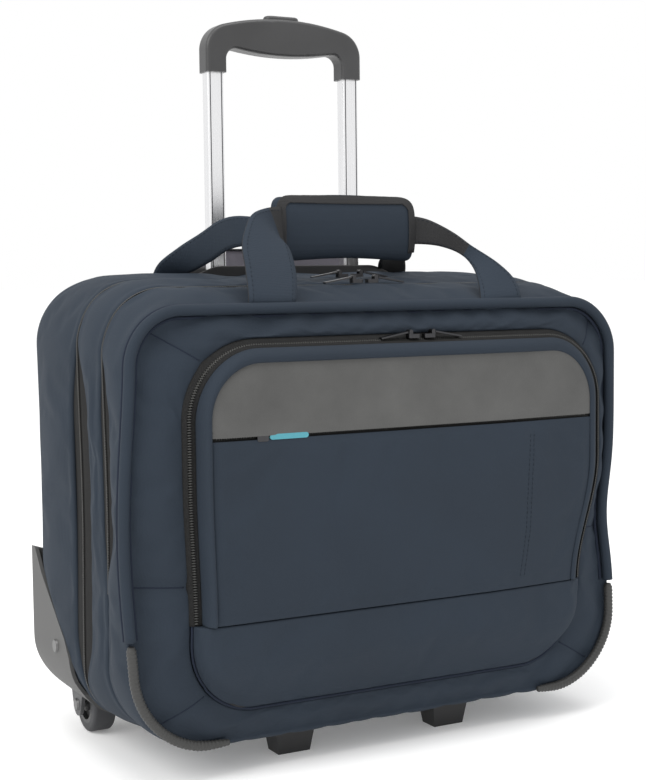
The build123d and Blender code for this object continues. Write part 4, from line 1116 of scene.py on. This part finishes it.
def lower_band():
    half_across = np.sin(np.linspace(0, math.pi / 2, 45))
    across = np.concatenate([-half_across[::-1], half_across[1:]])
    heights = BAND_LOW + (FOLD_Z - 1.2 * MM - BAND_LOW) * (1 - np.cos(np.linspace(0.12, math.pi / 2, 22)))
    rows = [[(band_half(BAND_LOW + 0.4 * MM) * u, 2 * MM, BAND_LOW - 1 * MM) for u in across]]
    for z in heights:
        rows.append([(band_half(z) * u, band_depth(z, abs(u)), z) for u in across])
    top = heights[-1]
    for back, up in ((0.6, 0.7), (2.0, 1.1), (6.0, 1.1), (12.0, 0.9)):
        rows.append([(band_half(top) * u, max(band_depth(top, abs(u)) - back * MM, 0.4 * MM), top + up * MM)
                     for u in across])
    grid = np.array(rows)
    grid = pocket_points(grid[..., 0], grid[..., 1], grid[..., 2])
    normals = np.zeros_like(grid)
    normals[..., 1] = -1
    grid = wrinkled(grid, normals, 0.5 * MM, 0.05, 33)
    piece = grid_piece("lower_band_pad", grid, flip=False)
    columns = len(across)
    pins = np.zeros((len(rows), columns))
    pins[:2] = 1
    pins[-5:] = 1
    pins[:, :2] = 1
    pins[:, -2:] = 1
    swell(piece, pins.ravel(), pressure=1.2, slack=0.008, cap=1.8 * MM)
    paint(piece, navy)
    finish_cloth(piece, 1.6 * MM, black_mesh)
    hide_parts("lower_band")
    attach(piece, "middle")
    # painted shade: a dark cord along the seam round the band's edge
    rim = [(-band_half(z), z) for z in np.linspace(FOLD_Z, BAND_LOW + 0.2 * MM, 40)]
    rim += [(band_half(z), z) for z in np.linspace(BAND_LOW + 0.2 * MM, FOLD_Z, 40)]
    rim = np.array(rim)
    depth = panel_reach(rim[:, 1]) + 0.8 * MM
    drop = np.where(rim[:, 1] < BAND_LOW + 20 * MM, 1.0 * MM, 0.0)
    across = sagged(rim[:, 0] * 1.004, rim[:, 1])
    points = np.stack([across, FRONT_Y - depth, rim[:, 1] - drop], 1)
    line = sweep("band_seam_shade", points, round_section(1.1 * MM, 8), up=(0, -1, 0))
    paint(line, painted_seam_shade)
    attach(line, "middle")


# ---- front pocket ---------------------------------------------------------------------------------
def arch(half, top, radius, low=None):
    """A U-shaped outline from the right foot over the top to the left foot."""
    low = FOLD_Z if low is None else low
    right = [(half, low)] + straight((half, low), (half, top - radius), 42)
    right += arc(half - radius, top - radius, radius, 0, 90, 22)
    across = straight((half - radius, top), (radius - half, top), 56)
    left = [(-x, z) for x, z in right[::-1]]
    return np.array(right + across + left)


def arch_line(side_inset, side_depth, top_drop, top_depth):
    """A line that follows the pocket's arch. It lies side_inset in from the arch and side_depth in
    front of the panel on the sides, top_drop under it and top_depth in front on top (millimetres)."""
    shape = arch(POCKET_HALF, POCKET_TOP, POCKET_RADIUS)
    run = np.gradient(shape, axis=0)
    run /= np.linalg.norm(run, axis=1)[:, None]
    normal = np.stack([run[:, 1], -run[:, 0]], 1)
    x = shape[:, 0] - side_inset * MM * normal[:, 0]
    z = shape[:, 1] - top_drop * MM * normal[:, 1]
    depth = side_depth + (top_depth - side_depth) * np.clip(normal[:, 1], 0, 1)
    return pocket_points(x, depth * MM, z), at_depth(normal, 0.0)


def arch_band(name, profile, material):
    """A strip that follows the pocket's arch through several such lines."""
    rows = [arch_line(*line)[0] for line in profile]
    return paint(grid_piece(name, np.array(rows)), material)


# (inset, depth) on the sides, then (drop, depth) on top, from the panel's edge to the coil
OUTER_TAPE = ((-3.0, 8.0, -5.0, 6.4), (-1.8, 10.8, -3.4, 9.6), (-0.8, 12.2, -1.6, 11.8),
              (0.4, 13.0, -0.1, 13.4), (1.6, 13.6, 0.6, 15.6))
COIL_LINE = (2.2, 14.3, 0.9, 16.2)
INNER_TAPE = ((2.8, 13.8, 0.8, 16.8), (4.4, 14.1, 1.3, 18.4), (6.0, 14.4, 2.2, 20.0), (7.6, 14.6, 3.4, 21.2))
RIM = ((7.0, 13.0, 2.9, 19.4), (6.8, 16.4, 2.6, 22.0), (7.3, 20.2, 4.0, 24.6), (8.5, 23.8, 6.2, 26.8),
       (10.2, 26.5, 8.6, 28.0), (11.9, 27.9, 10.6, 28.1), (13.6, 27.6, 12.2, 27.2), (14.9, 26.4, 13.2, 26.0),
       (15.2, 24.6, 13.4, 24.4))


def pocket_zip():
    outer = arch_band("pocket_zip_outer_tape", OUTER_TAPE, zip_tape)
    thicken(outer, 0.7 * MM)
    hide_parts("pocket_frame")
    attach(outer, "lid")
    inner = arch_band("pocket_zip_inner_tape", INNER_TAPE, zip_tape)
    thicken(inner, 0.7 * MM)
    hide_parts("pocket_zip_tape")
    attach(inner, "pocket")
    line, normal = arch_line(*COIL_LINE)
    facing = normal + np.array([0.0, -1.0, 0.0])
    facing /= np.linalg.norm(facing, axis=1)[:, None]
    across = np.cross(facing, np.gradient(line, axis=0))
    across /= np.linalg.norm(across, axis=1)[:, None]
    across *= np.sign((across * normal).sum(1))[:, None]
    for name, side, body in (("pocket_coil_outer", 1, "lid"), ("pocket_coil_inner", -1, "pocket")):
        coil = coil_half(name, line + across * side * 0.6 * MM, -across * side, facing,
                         phase=0.5 - 0.25 * side)
        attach(coil, body)


FACE_HALF = POCKET_HALF - 14 * MM
FACE_TOP = POCKET_TOP - 12 * MM
FACE_RADIUS = 40 * MM
LEATHER_LOW = edge("leatherette_panel", 2, False)
SLOT_LOW = edge("slot_zip_slider", 2, False) + 1.0 * MM


def face_half(z, half=FACE_HALF, top=FACE_TOP, radius=FACE_RADIUS):
    if z <= top - radius:
        return half
    return half - radius + math.sqrt(max(radius ** 2 - (z - top + radius) ** 2, 0))


def face_patch(name, heights, depth_of, material, half=FACE_HALF, top=FACE_TOP, radius=FACE_RADIUS,
               columns=89, seed=1, amount=0.4 * MM):
    """Part of the pocket's face between two heights."""
    across = np.linspace(-1, 1, columns)
    rows = [[(face_half(z, half, top, radius) * u, depth_of(z, abs(u)), z) for u in across] for z in heights]
    grid = np.array(rows)
    grid = pocket_points(grid[..., 0], FRONT_Y - grid[..., 1], grid[..., 2])
    normals = np.zeros_like(grid)
    normals[..., 1] = -1
    grid = wrinkled(grid, normals, amount, 0.045, seed)
    return paint(grid_piece(name, grid), material), grid


def pocket():
    face_y = FACE_Y + 1.2 * MM

    def cloth_depth(z, u):
        side = 1 - smooth_step(np.array([u]), 0.955, 1.0)[0]
        upper = 1 - smooth_step(np.array([z]), SLOT_LOW - 7 * MM, SLOT_LOW + 1 * MM)[0]
        lower = smooth_step(np.array([z]), FOLD_Z, FOLD_Z + 12 * MM)[0]
        return face_y - (2.0 * MM * side * (0.5 + 0.5 * upper) * (0.35 + 0.65 * lower)) + 0.5 * MM

    heights = np.concatenate([[FOLD_Z + 0.3 * MM, FOLD_Z + 1.5 * MM, FOLD_Z + 4 * MM],
                              np.linspace(FOLD_Z + 8 * MM, SLOT_LOW - 4 * MM, 32),
                              [SLOT_LOW - 1.6 * MM, SLOT_LOW, SLOT_LOW + 0.6 * MM]])
    cloth, grid = face_patch("pocket_cloth", heights, cloth_depth, navy, seed=41)
    grid_rows, grid_columns = grid.shape[:2]
    pins = np.zeros((grid_rows, grid_columns))
    pins[:2], pins[-3:], pins[:, :2], pins[:, -2:] = 1, 1, 1, 1
    swell(cloth, pins.ravel(), pressure=0.8, slack=0.006, cap=1.6 * MM)
    finish_cloth(cloth, 2.0 * MM, black_mesh)
    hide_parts("pocket_flap")

    def leather_depth(z, u):
        side = 1 - smooth_step(np.array([u]), 0.93, 1.0)[0]
        low = smooth_step(np.array([z]), LEATHER_LOW - 3 * MM, LEATHER_LOW + 6 * MM)[0]
        high = 1 - smooth_step(np.array([z]), FACE_TOP - 9 * MM, FACE_TOP)[0]
        return face_y + 0.6 * MM - 2.2 * MM * side * (0.72 + 0.28 * low) * high

    hem = LEATHER_LOW - 3.6 * MM
    heights = np.concatenate([[hem, hem + 0.3 * MM, hem + 1.2 * MM, hem + 3.2 * MM],
                              np.linspace(LEATHER_LOW + 4 * MM, FACE_TOP - FACE_RADIUS, 8),
                              FACE_TOP - FACE_RADIUS
                              + FACE_RADIUS * np.sin(np.linspace(0.15, math.pi / 2, 12))])
    leather, grid = face_patch("leatherette_band", heights, leather_depth, leatherette, seed=47,
                               amount=0.5 * MM)
    finish_cloth(leather, 1.6 * MM, black_mesh)
    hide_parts("leatherette_panel")
    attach(leather, "pocket")

    backing_heights = [SLOT_LOW - 6 * MM, SLOT_LOW, LEATHER_LOW - 2 * MM, LEATHER_LOW + 6 * MM]
    back, _ = face_patch("slot_backing", backing_heights, lambda z, u: FACE_Y + 3.6 * MM, zip_tape,
                         half=FACE_HALF - 1 * MM)
    thicken(back, 0.6 * MM)
    slot_middle = (SLOT_LOW + LEATHER_LOW) / 2
    for name, z, toward in (("slot_coil_low", slot_middle - 0.55 * MM, 1),
                            ("slot_coil_high", slot_middle + 0.55 * MM, -1)):
        across = np.linspace(4 * MM - FACE_HALF, FACE_HALF - 4 * MM, 60)
        line = pocket_points(across, FRONT_Y - FACE_Y - 3.0 * MM, np.full(60, z))
        coil = coil_half(name, line, (0, 0, toward), (0, -1, 0))
        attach(coil, "pocket")

    rim = arch_band("pocket_rim", RIM, navy)
    finish_cloth(rim, 1.2 * MM, black_mesh)
    for piece in (cloth, back, rim):
        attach(piece, "pocket")

    # a double row of stitches down the right of the face
    curve = [(116 * MM, 0.241), (113.5 * MM, 0.205), (111 * MM, 0.165), (104 * MM, 0.125)]
    for name, offset in (("left", 0.0), ("right", 4 * MM)):
        path = [(x + offset, z) for x, z in curve]
        line = on_surface(cloth, path, sink=-0.05 * MM)
        row = stitches(f"pocket_stitch_{name}", line, (0, -1, 0))
        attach(row, "pocket")


# ---- straps and handles ---------------------------------------------------------------------------
STRAP_THICKNESS = 2.6 * MM


def bezier_like(points, count):
    """A smooth curve through the given points, evenly spaced."""
    points = np.array(points, float)
    padded = np.vstack([2 * points[0] - points[1], points, 2 * points[-1] - points[-2]])
    made = []
    for k in range(len(points) - 1):
        p0, p1, p2, p3 = padded[k:k + 4]
        for t in np.linspace(0, 1, 16, endpoint=False):
            made.append(0.5 * ((2 * p1) + (p2 - p0) * t + (2 * p0 - 5 * p1 + 4 * p2 - p3) * t ** 2
                               + (3 * p1 - p0 - 3 * p2 + p3) * t ** 3))
    made.append(points[-1])
    made = np.array(made)
    along = np.concatenate([[0], np.cumsum(np.linalg.norm(np.diff(made, axis=0), axis=1))])
    even = np.linspace(0, along[-1], count)
    return np.stack([np.interp(even, along, made[:, k]) for k in range(3)], 1)


def ribbon(name, first_edge, second_edge, face_material, back_material, split=None, count=64, across=12):
    """A strap between two edge lines given in millimetres from the middle of the main zip. Its face
    looks along first-to-second crossed with the run; split is where the face turns into another
    material (share, material)."""
    from_zip = np.array([0.0, MAIN_Y, 0.0])
    one = bezier_like(first_edge, count) * MM + from_zip
    two = bezier_like(second_edge, count) * MM + from_zip
    run = np.gradient((one + two) / 2, axis=0)
    run /= np.linalg.norm(run, axis=1)[:, None]
    side = two - one
    width = np.linalg.norm(side, axis=1)[:, None]
    side /= width
    normal = np.cross(side, run)
    normal /= np.linalg.norm(normal, axis=1)[:, None]
    half = STRAP_THICKNESS / 2
    section = []
    for k in range(across + 1):
        u = k / across
        section.append((u, half * (1 - 0.55 * (2 * abs(u - 0.5)) ** 12)))
    section += [(u, -h) for u, h in section[::-1]]
    grid = np.zeros((count, len(section), 3))
    for k, (u, h) in enumerate(section):
        grid[:, k] = one + side * width * u + normal * h
    faces = grid_faces(count, len(section), wrap=True)
    faces.append(tuple(range(len(section)))[::-1])
    faces.append(tuple((count - 1) * len(section) + j for j in range(len(section))))
    piece = new_mesh(name, grid.reshape(-1, 3), faces)
    piece.data.materials.append(face_material)
    piece.data.materials.append(back_material)
    if split is not None:
        piece.data.materials.append(split[1])
    for number, polygon in enumerate(piece.data.polygons):
        row, column = divmod(number, len(section))
        if number >= (count - 1) * len(section):
            continue
        if column > across:
            polygon.material_index = 1
        elif split is not None and row / count > split[0]:
            polygon.material_index = 2
    edges = []
    for share in (0.09, 0.91):
        line = one + side * width * share + normal * half * 0.95
        edges.append(stitches(f"{name}_stitch_{int(share * 100)}", line, normal))
    return piece, edges


def front_handle():
    left, left_rows = ribbon(
        "front_strap_left",
        ((-117, -101.5, 340), (-116.5, -103.6, 352), (-114, -94, 371), (-110, -80, 389), (-101, -68, 403),
         (-91, -58, 413), (-76, -50, 418), (-60, -43, 420)),
        ((-79, -101.5, 340), (-78, -103.6, 350), (-73, -95, 364), (-70, -84, 378), (-68, -72, 388),
         (-67, -60, 392), (-63, -50, 391), (-56, -42, 388)),
        navy_strap, black_binding, split=(0.86, black_binding))
    right, right_rows = ribbon(
        "front_strap_right",
        ((85, -101.5, 337), (85, -103.6, 345), (90, -93, 360), (94, -78, 373), (91, -64, 383), (80, -52, 389),
         (66, -43, 391), (54, -38, 390)),
        ((123, -101.5, 337), (123, -103.8, 349), (122, -96, 362), (113, -86, 375), (98, -72, 389),
         (87, -59, 401), (73, -45, 411), (54, -38, 415)),
        navy_strap, black_binding, split=(0.52, black_binding))
    both = join("front_strap_webbing", [left, right] + left_rows + right_rows)
    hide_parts("front_strap")
    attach(both, "front_handle")


def rear_handle():
    left, left_rows = ribbon(
        "rear_strap_left",
        ((-124, 68.5, 364), (-119, 62, 378), (-106, 50, 391), (-94, 36, 401), (-86, 14, 411), (-80, -6, 414),
         (-66, -24, 412)),
        ((-101, 68.5, 364), (-99, 61, 368), (-94, 45, 372), (-88, 26, 379), (-84, 4, 387), (-78, -14, 390),
         (-66, -30, 388)),
        navy_strap, black_binding)
    right, right_rows = ribbon(
        "rear_strap_right",
        ((92, 68.5, 362), (88, 60, 367), (78, 44, 373), (68, 22, 380), (66, 2, 385), (66, -16, 388),
         (62, -30, 388)),
        ((116, 68.5, 362), (114, 58, 371), (104, 44, 387), (90, 26, 400), (80, 4, 409), (74, -12, 412),
         (62, -24, 412)),
        black_binding, black_binding)
    both = join("rear_strap_webbing", [left, right] + left_rows + right_rows)
    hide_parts("rear_strap")
    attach(both, "rear_handle")


def grip_wrap():
    """The padded wrap of the carry handle: a soft sleeve with a bound edge."""
    low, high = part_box("grip_wrap")
    middle_z, middle_y = (low.z + high.z) / 2, (low.y + high.y) / 2
    half_z, half_y = (high.z - low.z) / 2 - 0.5 * MM, (high.y - low.y) / 2 - 0.3 * MM
    half_x = high.x - 1.5 * MM
    turns = np.linspace(0, 2 * math.pi, 64, endpoint=False)
    rows = []
    ends = np.concatenate([-np.cos(np.linspace(0, math.pi / 2, 9)) * 0.10 - 0.90 + 0.0,
                           np.linspace(-0.9, 0.9, 40)[1:-1],
                           np.cos(np.linspace(math.pi / 2, 0, 9)) * 0.10 + 0.90])
    for u in ends:
        tip = max(0.0, (abs(u) - 0.90) / 0.10)
        shrink = math.sqrt(max(1 - tip ** 2, 0.0))
        tall = half_z * (0.70 + 0.30 * shrink)
        deep = half_y * (0.18 + 0.82 * shrink)
        x = half_x * u
        ring = []
        for t in turns:
            c, s = math.cos(t), math.sin(t)
            y = math.copysign(abs(c) ** 0.75, c) * deep
            z = math.copysign(abs(s) ** 0.8, s) * tall
            ring.append((x, middle_y + y, middle_z + z + 1.5 * MM * math.cos(u * 2.4)))
        rows.append(ring)
    grid = np.array(rows)
    piece = grid_piece("handle_wrap", grid, wrap=True)
    pins = edge_pins(len(rows), len(turns), [0, 1, len(rows) - 2, len(rows) - 1])
    swell(piece, pins, pressure=2.0, slack=0.01, cap=1.6 * MM)
    paint(piece, navy)
    finish_cloth(piece, 1.4 * MM, black_mesh)
    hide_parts("grip_wrap")

    # black binding round the front flap: over the top and down both ends
    corner = 9 * MM
    inset = 3.6 * MM
    wide, tall = half_x - inset, half_z - inset + 1.0 * MM
    loop = straight((wide, -tall), (wide, tall - corner), 12)
    loop += arc(wide - corner, tall - corner, corner, 0, 90, 8)
    loop += straight((wide - corner, tall), (corner - wide, tall), 40)
    loop += arc(corner - wide, tall - corner, corner, 90, 180, 8)
    loop += straight((-wide, tall - corner), (-wide, -tall), 12)
    points, normals = [], []
    graph = bpy.context.evaluated_depsgraph_get()
    shown = piece.evaluated_get(graph)
    for x, z in loop:
        hit, place, normal, _ = shown.ray_cast(Vector((x, middle_y - 0.05, middle_z + z)), Vector((0, 1, 0)))
        if hit:
            points.append(place + normal * 0.25 * MM)
            normals.append(normal)
    binding = sweep("handle_binding", points, flat_section(7.5 * MM, 1.2 * MM), up=np.array(normals))
    paint(binding, black_binding)
    for made in (piece, binding):
        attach(made, "front_handle")


# ---- well lip and rear panel ----------------------------------------------------------------------
def well_lip():
    """The grey moulding round the mouth of the handle well, higher in its middle."""
    low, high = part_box("well_lip")
    rim_low, rim_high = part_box("well_tray")
    centre_y = (rim_low.y + rim_high.y) / 2
    half_x = (rim_high.x - rim_low.x) / 2 + 4 * MM
    half_y = (rim_high.y - rim_low.y) / 2 + 3 * MM
    corner = 14 * MM
    shape = outline(half_x, centre_y - half_y, centre_y + half_y, corner, corner)
    tall = high.z - 1.5 * MM
    base = CASE_TOP - 1.5 * MM
    rows = []
    for out, up in ((10.0, 0.0), (9.0, 0.18), (6.5, 0.42), (3.8, 0.78), (1.8, 0.97), (0.0, 1.0),
                    (-1.6, 0.95), (-2.4, 0.7), (-2.5, -1.2)):
        ring = shape + outward(shape) * out * MM
        ring[:, 1] = np.clip(ring[:, 1], low.y + 0.5 * MM, high.y - 0.5 * MM)
        ring[:, 0] = np.clip(ring[:, 0], low.x, high.x)
        rise = (tall - base) * (1 - 0.80 * smooth_step(np.abs(shape[:, 0]), 0.070, 0.106))
        height = base + rise * up if up >= 0 else np.full(len(ring), base - 8 * MM)
        rows.append(np.stack([ring[:, 0], ring[:, 1], np.broadcast_to(height, len(ring))], 1))
    piece = grid_piece("well_moulding", np.array(rows), wrap=True)
    paint(piece, black_plastic)
    thicken(piece, 1.5 * MM)
    soft = piece.modifiers.new("smooth", "SUBSURF")
    soft.levels = soft.render_levels = 1
    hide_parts("well_lip")
    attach(piece, "case")


def rear_panel():
    """The padded panel on the back, with a bound edge and one level quilting seam."""
    low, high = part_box("rear_panel")
    middle_x, middle_z = (low.x + high.x) / 2, (low.z + high.z) / 2
    shape = outline((high.x - low.x) / 2 - 2 * MM, low.z + 2 * MM, high.z - 2 * MM, 16 * MM, 16 * MM)
    shape[:, 0] += middle_x
    rows = []
    deep = high.y - low.y
    for share, out in ((1.0, 0.15), (1.0, 0.5), (0.985, 0.68), (0.95, 0.82), (0.88, 0.93), (0.76, 0.98),
                       (0.6, 1.0), (0.42, 1.0), (0.22, 1.0), (0.03, 1.0)):
        ring = shape.copy()
        ring[:, 0] = middle_x + (shape[:, 0] - middle_x) * share
        ring[:, 1] = middle_z + (shape[:, 1] - middle_z) * share
        dip = sum(np.exp(-((ring[:, 1] - z) / (4 * MM)) ** 2) for z in (middle_z - 0.05, middle_z + 0.055))
        rows.append(at_depth(ring, low.y + deep * (out - 0.16 * dip * (share < 0.97)) - 0.6 * MM))
    piece = grid_piece("rear_pad", np.array(rows), wrap=True, flip=True)
    swell(piece, edge_pins(len(rows), COLUMNS, [0, 1, 2]), pressure=1.0, slack=0.004, cap=0.8 * MM)
    paint(piece, navy_strap)
    finish_cloth(piece, 1.2 * MM, grey_lining)
    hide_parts("rear_panel")
    binding = sweep("rear_pad_binding", at_depth(shape, low.y + deep * 0.45), flat_section(5 * MM, 1.6 * MM),
                    closed=True, up=at_depth(outward(shape), 0.0))
    paint(binding, black_binding)
    for made in (piece, binding):
        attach(made, "case")


# ---- inside ---------------------------------------------------------------------------------------
def plain_pad(name, node, material, body, thickness=None, seams=()):
    """A flat padded panel in the place of a CAD node, crowned, with level seams across it."""
    low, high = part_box(node)
    middle_x, middle_z = (low.x + high.x) / 2, (low.z + high.z) / 2
    shape = outline((high.x - low.x) / 2 - 1 * MM, low.z + 1 * MM, high.z - 1 * MM, 18 * MM, 18 * MM)
    shape[:, 0] += middle_x
    deep = high.y - low.y if thickness is None else thickness
    rows = []
    front_shares = (0.03, 0.3, 0.6, 0.82, 0.93, 0.985, 1.0)
    for sign, shares in ((1, front_shares), (-1, front_shares[::-1])):
        for share in shares:
            ring = shape.copy()
            ring[:, 0] = middle_x + (shape[:, 0] - middle_x) * share
            ring[:, 1] = middle_z + (shape[:, 1] - middle_z) * share
            half = deep / 2 * (0.35 + 0.65 * math.sqrt(max(0.0, 1 - share ** 8)))
            dip = sum(0.25 * np.exp(-((ring[:, 1] - z) / (5 * MM)) ** 2) for z in seams)
            depth = (low.y + high.y) / 2 + sign * half * (1 - dip)
            rows.append(at_depth(ring, depth))
    piece = grid_piece(name, np.array(rows), wrap=True)
    paint(piece, material)
    soft = piece.modifiers.new("smooth", "SUBSURF")
    soft.levels = soft.render_levels = 1
    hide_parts(node)
    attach(piece, body)
    return piece


def organiser():
    """The zip-up lid's organiser: one sheet of mesh cloth."""
    low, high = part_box("organiser_panel")
    across = np.linspace(low.x + 0.5 * MM, high.x - 0.5 * MM, 60)
    up = np.linspace(low.z + 0.5 * MM, high.z - 0.5 * MM, 32)
    y = (low.y + high.y) / 2
    grid = np.array([[(x, y + 0.1 * MM * math.sin(40 * x) * math.sin(30 * z), z) for x in across]
                     for z in up])
    piece = grid_piece("organiser_sheet", grid)
    paint(piece, black_mesh)
    thicken(piece, 1.0 * MM, offset=0.0)
    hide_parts("organiser_panel")
    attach(piece, "lid")


# ---- hard parts: materials on the CAD nodes and the small detail on them ---------------------------
FINISHES = {
    "corner_guard_left": guard_plastic, "corner_guard_right": guard_plastic, "wheel_housings": dark_plastic,
    "feet": black_plastic, "grip_upper_shell": grip_plastic, "grip_lower_shell": grip_plastic,
    "release_button": grip_plastic, "well_tray": dark_plastic, "back_board": board_plastic,
    "tube_bracket": dark_plastic, "outer_collars": black_plastic, "middle_collars": black_plastic,
    "lock_plugs": black_plastic, "wheel_tyre_left": tyre_rubber, "wheel_tyre_right": tyre_rubber,
    "wheel_hub_left": dark_plastic, "wheel_hub_right": dark_plastic, "inner_tubes": aluminium,
    "middle_tubes": aluminium, "outer_tubes": aluminium, "axles": screw_metal, "guard_screws": screw_metal,
    "foot_screws": steel, "release_bar": steel, "laptop_strap": navy_strap,
    "slot_zip_slider": gunmetal, "slot_zip_pull": teal,
}


def hard_parts():
    for name, material in FINISHES.items():
        paint(nodes[name], material)
    for zip_name in ("main_zip", "lid_zip", "pocket_zip"):
        for side in ("left", "right"):
            paint(nodes[f"{zip_name}_{side}_slider"], gunmetal)
            paint(nodes[f"{zip_name}_{side}_pull"], gunmetal)


SPRING_WIRE = 0.5 * MM
SPRING_TURNS = 4


def spring():
    """The button's coil spring."""
    low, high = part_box("button_spring")
    wire = SPRING_WIRE
    radius = (high.x - low.x) / 2 - wire
    angles = np.linspace(0, 2 * math.pi * SPRING_TURNS, 20 * SPRING_TURNS)
    outward_way = np.stack([np.cos(angles), np.sin(angles), np.zeros(len(angles))], 1)
    path = outward_way * radius
    path += np.array([(low.x + high.x) / 2, (low.y + high.y) / 2, 0.0])
    path[:, 2] = np.linspace(low.z + wire, high.z - wire, len(angles))
    piece = paint(sweep("spring_coil", path, round_section(wire, 8), up=outward_way), steel)
    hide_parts("button_spring")
    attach(piece, "grip_stage")
    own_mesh(piece)


def strip(name, low, high, material, body):
    """A plain thin strip between two corners."""
    points = [(x, y, z) for x in (low[0], high[0]) for y in (low[1], high[1]) for z in (low[2], high[2])]
    faces = ((0, 1, 3, 2), (4, 6, 7, 5), (0, 4, 5, 1), (2, 3, 7, 6), (0, 2, 6, 4), (1, 5, 7, 3))
    piece = paint(new_mesh(name, points, faces, smooth=False), material)
    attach(piece, body)


def tube_grooves():
    """The two dark strips along each face of the pull tubes, painted shade standing in for their grooves."""
    low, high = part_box("inner_tubes")
    face_y = low.y
    wide = 15 * MM
    bottom = edge("middle_collars", 2) + 1 * MM
    top = edge("grip_lower_shell", 2, False) + 4 * MM
    for side, sign in (("left", -1), ("right", 1)):
        for number, inset in enumerate((2.4 * MM, wide - 2.4 * MM)):
            x = sign * (high.x - inset)
            strip(f"tube_groove_{side}_{number}", (x - 0.45 * MM, face_y - 0.12 * MM, bottom),
                  (x + 0.45 * MM, face_y + 0.3 * MM, top), painted_groove_shade, "grip_stage")


# ---- camera, floor and light ----------------------------------------------------------------------
def camera():
    yaw, pitch, roll = (math.radians(a) for a in (28.05, 4.3, -0.68))
    ahead = Vector((math.sin(yaw) * math.cos(pitch), math.cos(yaw) * math.cos(pitch), -math.sin(pitch)))
    right = Vector((math.cos(yaw), -math.sin(yaw), 0))
    up = right.cross(ahead)
    turned_right = right * math.cos(roll) + up * math.sin(roll)
    turned_up = -right * math.sin(roll) + up * math.cos(roll)
    eye = bpy.data.cameras.new("view")
    eye.sensor_fit = "AUTO"
    eye.sensor_width = 36
    eye.lens = 68.72
    placed = bpy.data.objects.new("view", eye)
    bpy.context.scene.collection.objects.link(placed)
    matrix = Matrix.Identity(4)
    for column, axis in enumerate((turned_right, turned_up, -ahead)):
        matrix.col[column].xyz = axis
    matrix.translation = Vector((-0.5767, MAIN_Y - 1.080, 0.3644))
    placed.matrix_world = matrix
    bpy.context.scene.camera = placed


def aimed(name, place, target, size, power, colour):
    """A soft area light pointed at a target."""
    light = bpy.data.lights.new(name, "AREA")
    light.shape = "RECTANGLE"
    light.size, light.size_y = size
    light.energy = power
    light.color = colour
    placed = bpy.data.objects.new(name, light)
    bpy.context.scene.collection.objects.link(placed)
    placed.location = place
    placed.rotation_euler = (Vector(target) - Vector(place)).to_track_quat("-Z", "Y").to_euler()


FLOOR_HALF = 60.0


def studio():
    floor_material = Shader("paper", 0.9, specular=0.1)
    floor_material.principled.inputs["Base Color"].default_value = (0.92, 0.92, 0.92, 1)
    floor_material.principled.inputs["Emission Color"].default_value = (1, 1, 1, 1)
    floor_material.principled.inputs["Emission Strength"].default_value = 0.16
    corners = [(-FLOOR_HALF, -FLOOR_HALF, 0), (FLOOR_HALF, -FLOOR_HALF, 0),
               (FLOOR_HALF, FLOOR_HALF, 0), (-FLOOR_HALF, FLOOR_HALF, 0)]
    floor = new_mesh("floor", corners, [(0, 1, 2, 3)])
    paint(floor, floor_material.material)
    world = bpy.data.worlds.new("studio")
    bpy.context.scene.world = world
    world.use_nodes = True
    background = world.node_tree.nodes["Background"]
    background.inputs["Color"].default_value = (1, 1, 1, 1)
    background.inputs["Strength"].default_value = 1.0
    middle = (0, 0, 0.2)
    aimed("key", (-2.1, -0.5, 1.9), middle, (1.6, 1.6), 30, (1, 0.99, 0.97))
    aimed("top", (0.0, -0.5, 2.3), middle, (1.8, 1.2), 20, (1, 1, 1))
    bpy.context.scene.view_settings.view_transform = "Standard"


# ---- build everything -----------------------------------------------------------------------------
rear_skin()
middle_skin()
middle_wall()
big_zips()
front_skin()
piping()
bumpers()
lower_band()
pocket_zip()
pocket()
front_handle()
rear_handle()
grip_wrap()
well_lip()
rear_panel()
plain_pad("laptop_pad", "laptop_divider", grey_lining, "middle", seams=(0.12, 0.20))
organiser()
hard_parts()
spring()
tube_grooves()
camera()
studio()
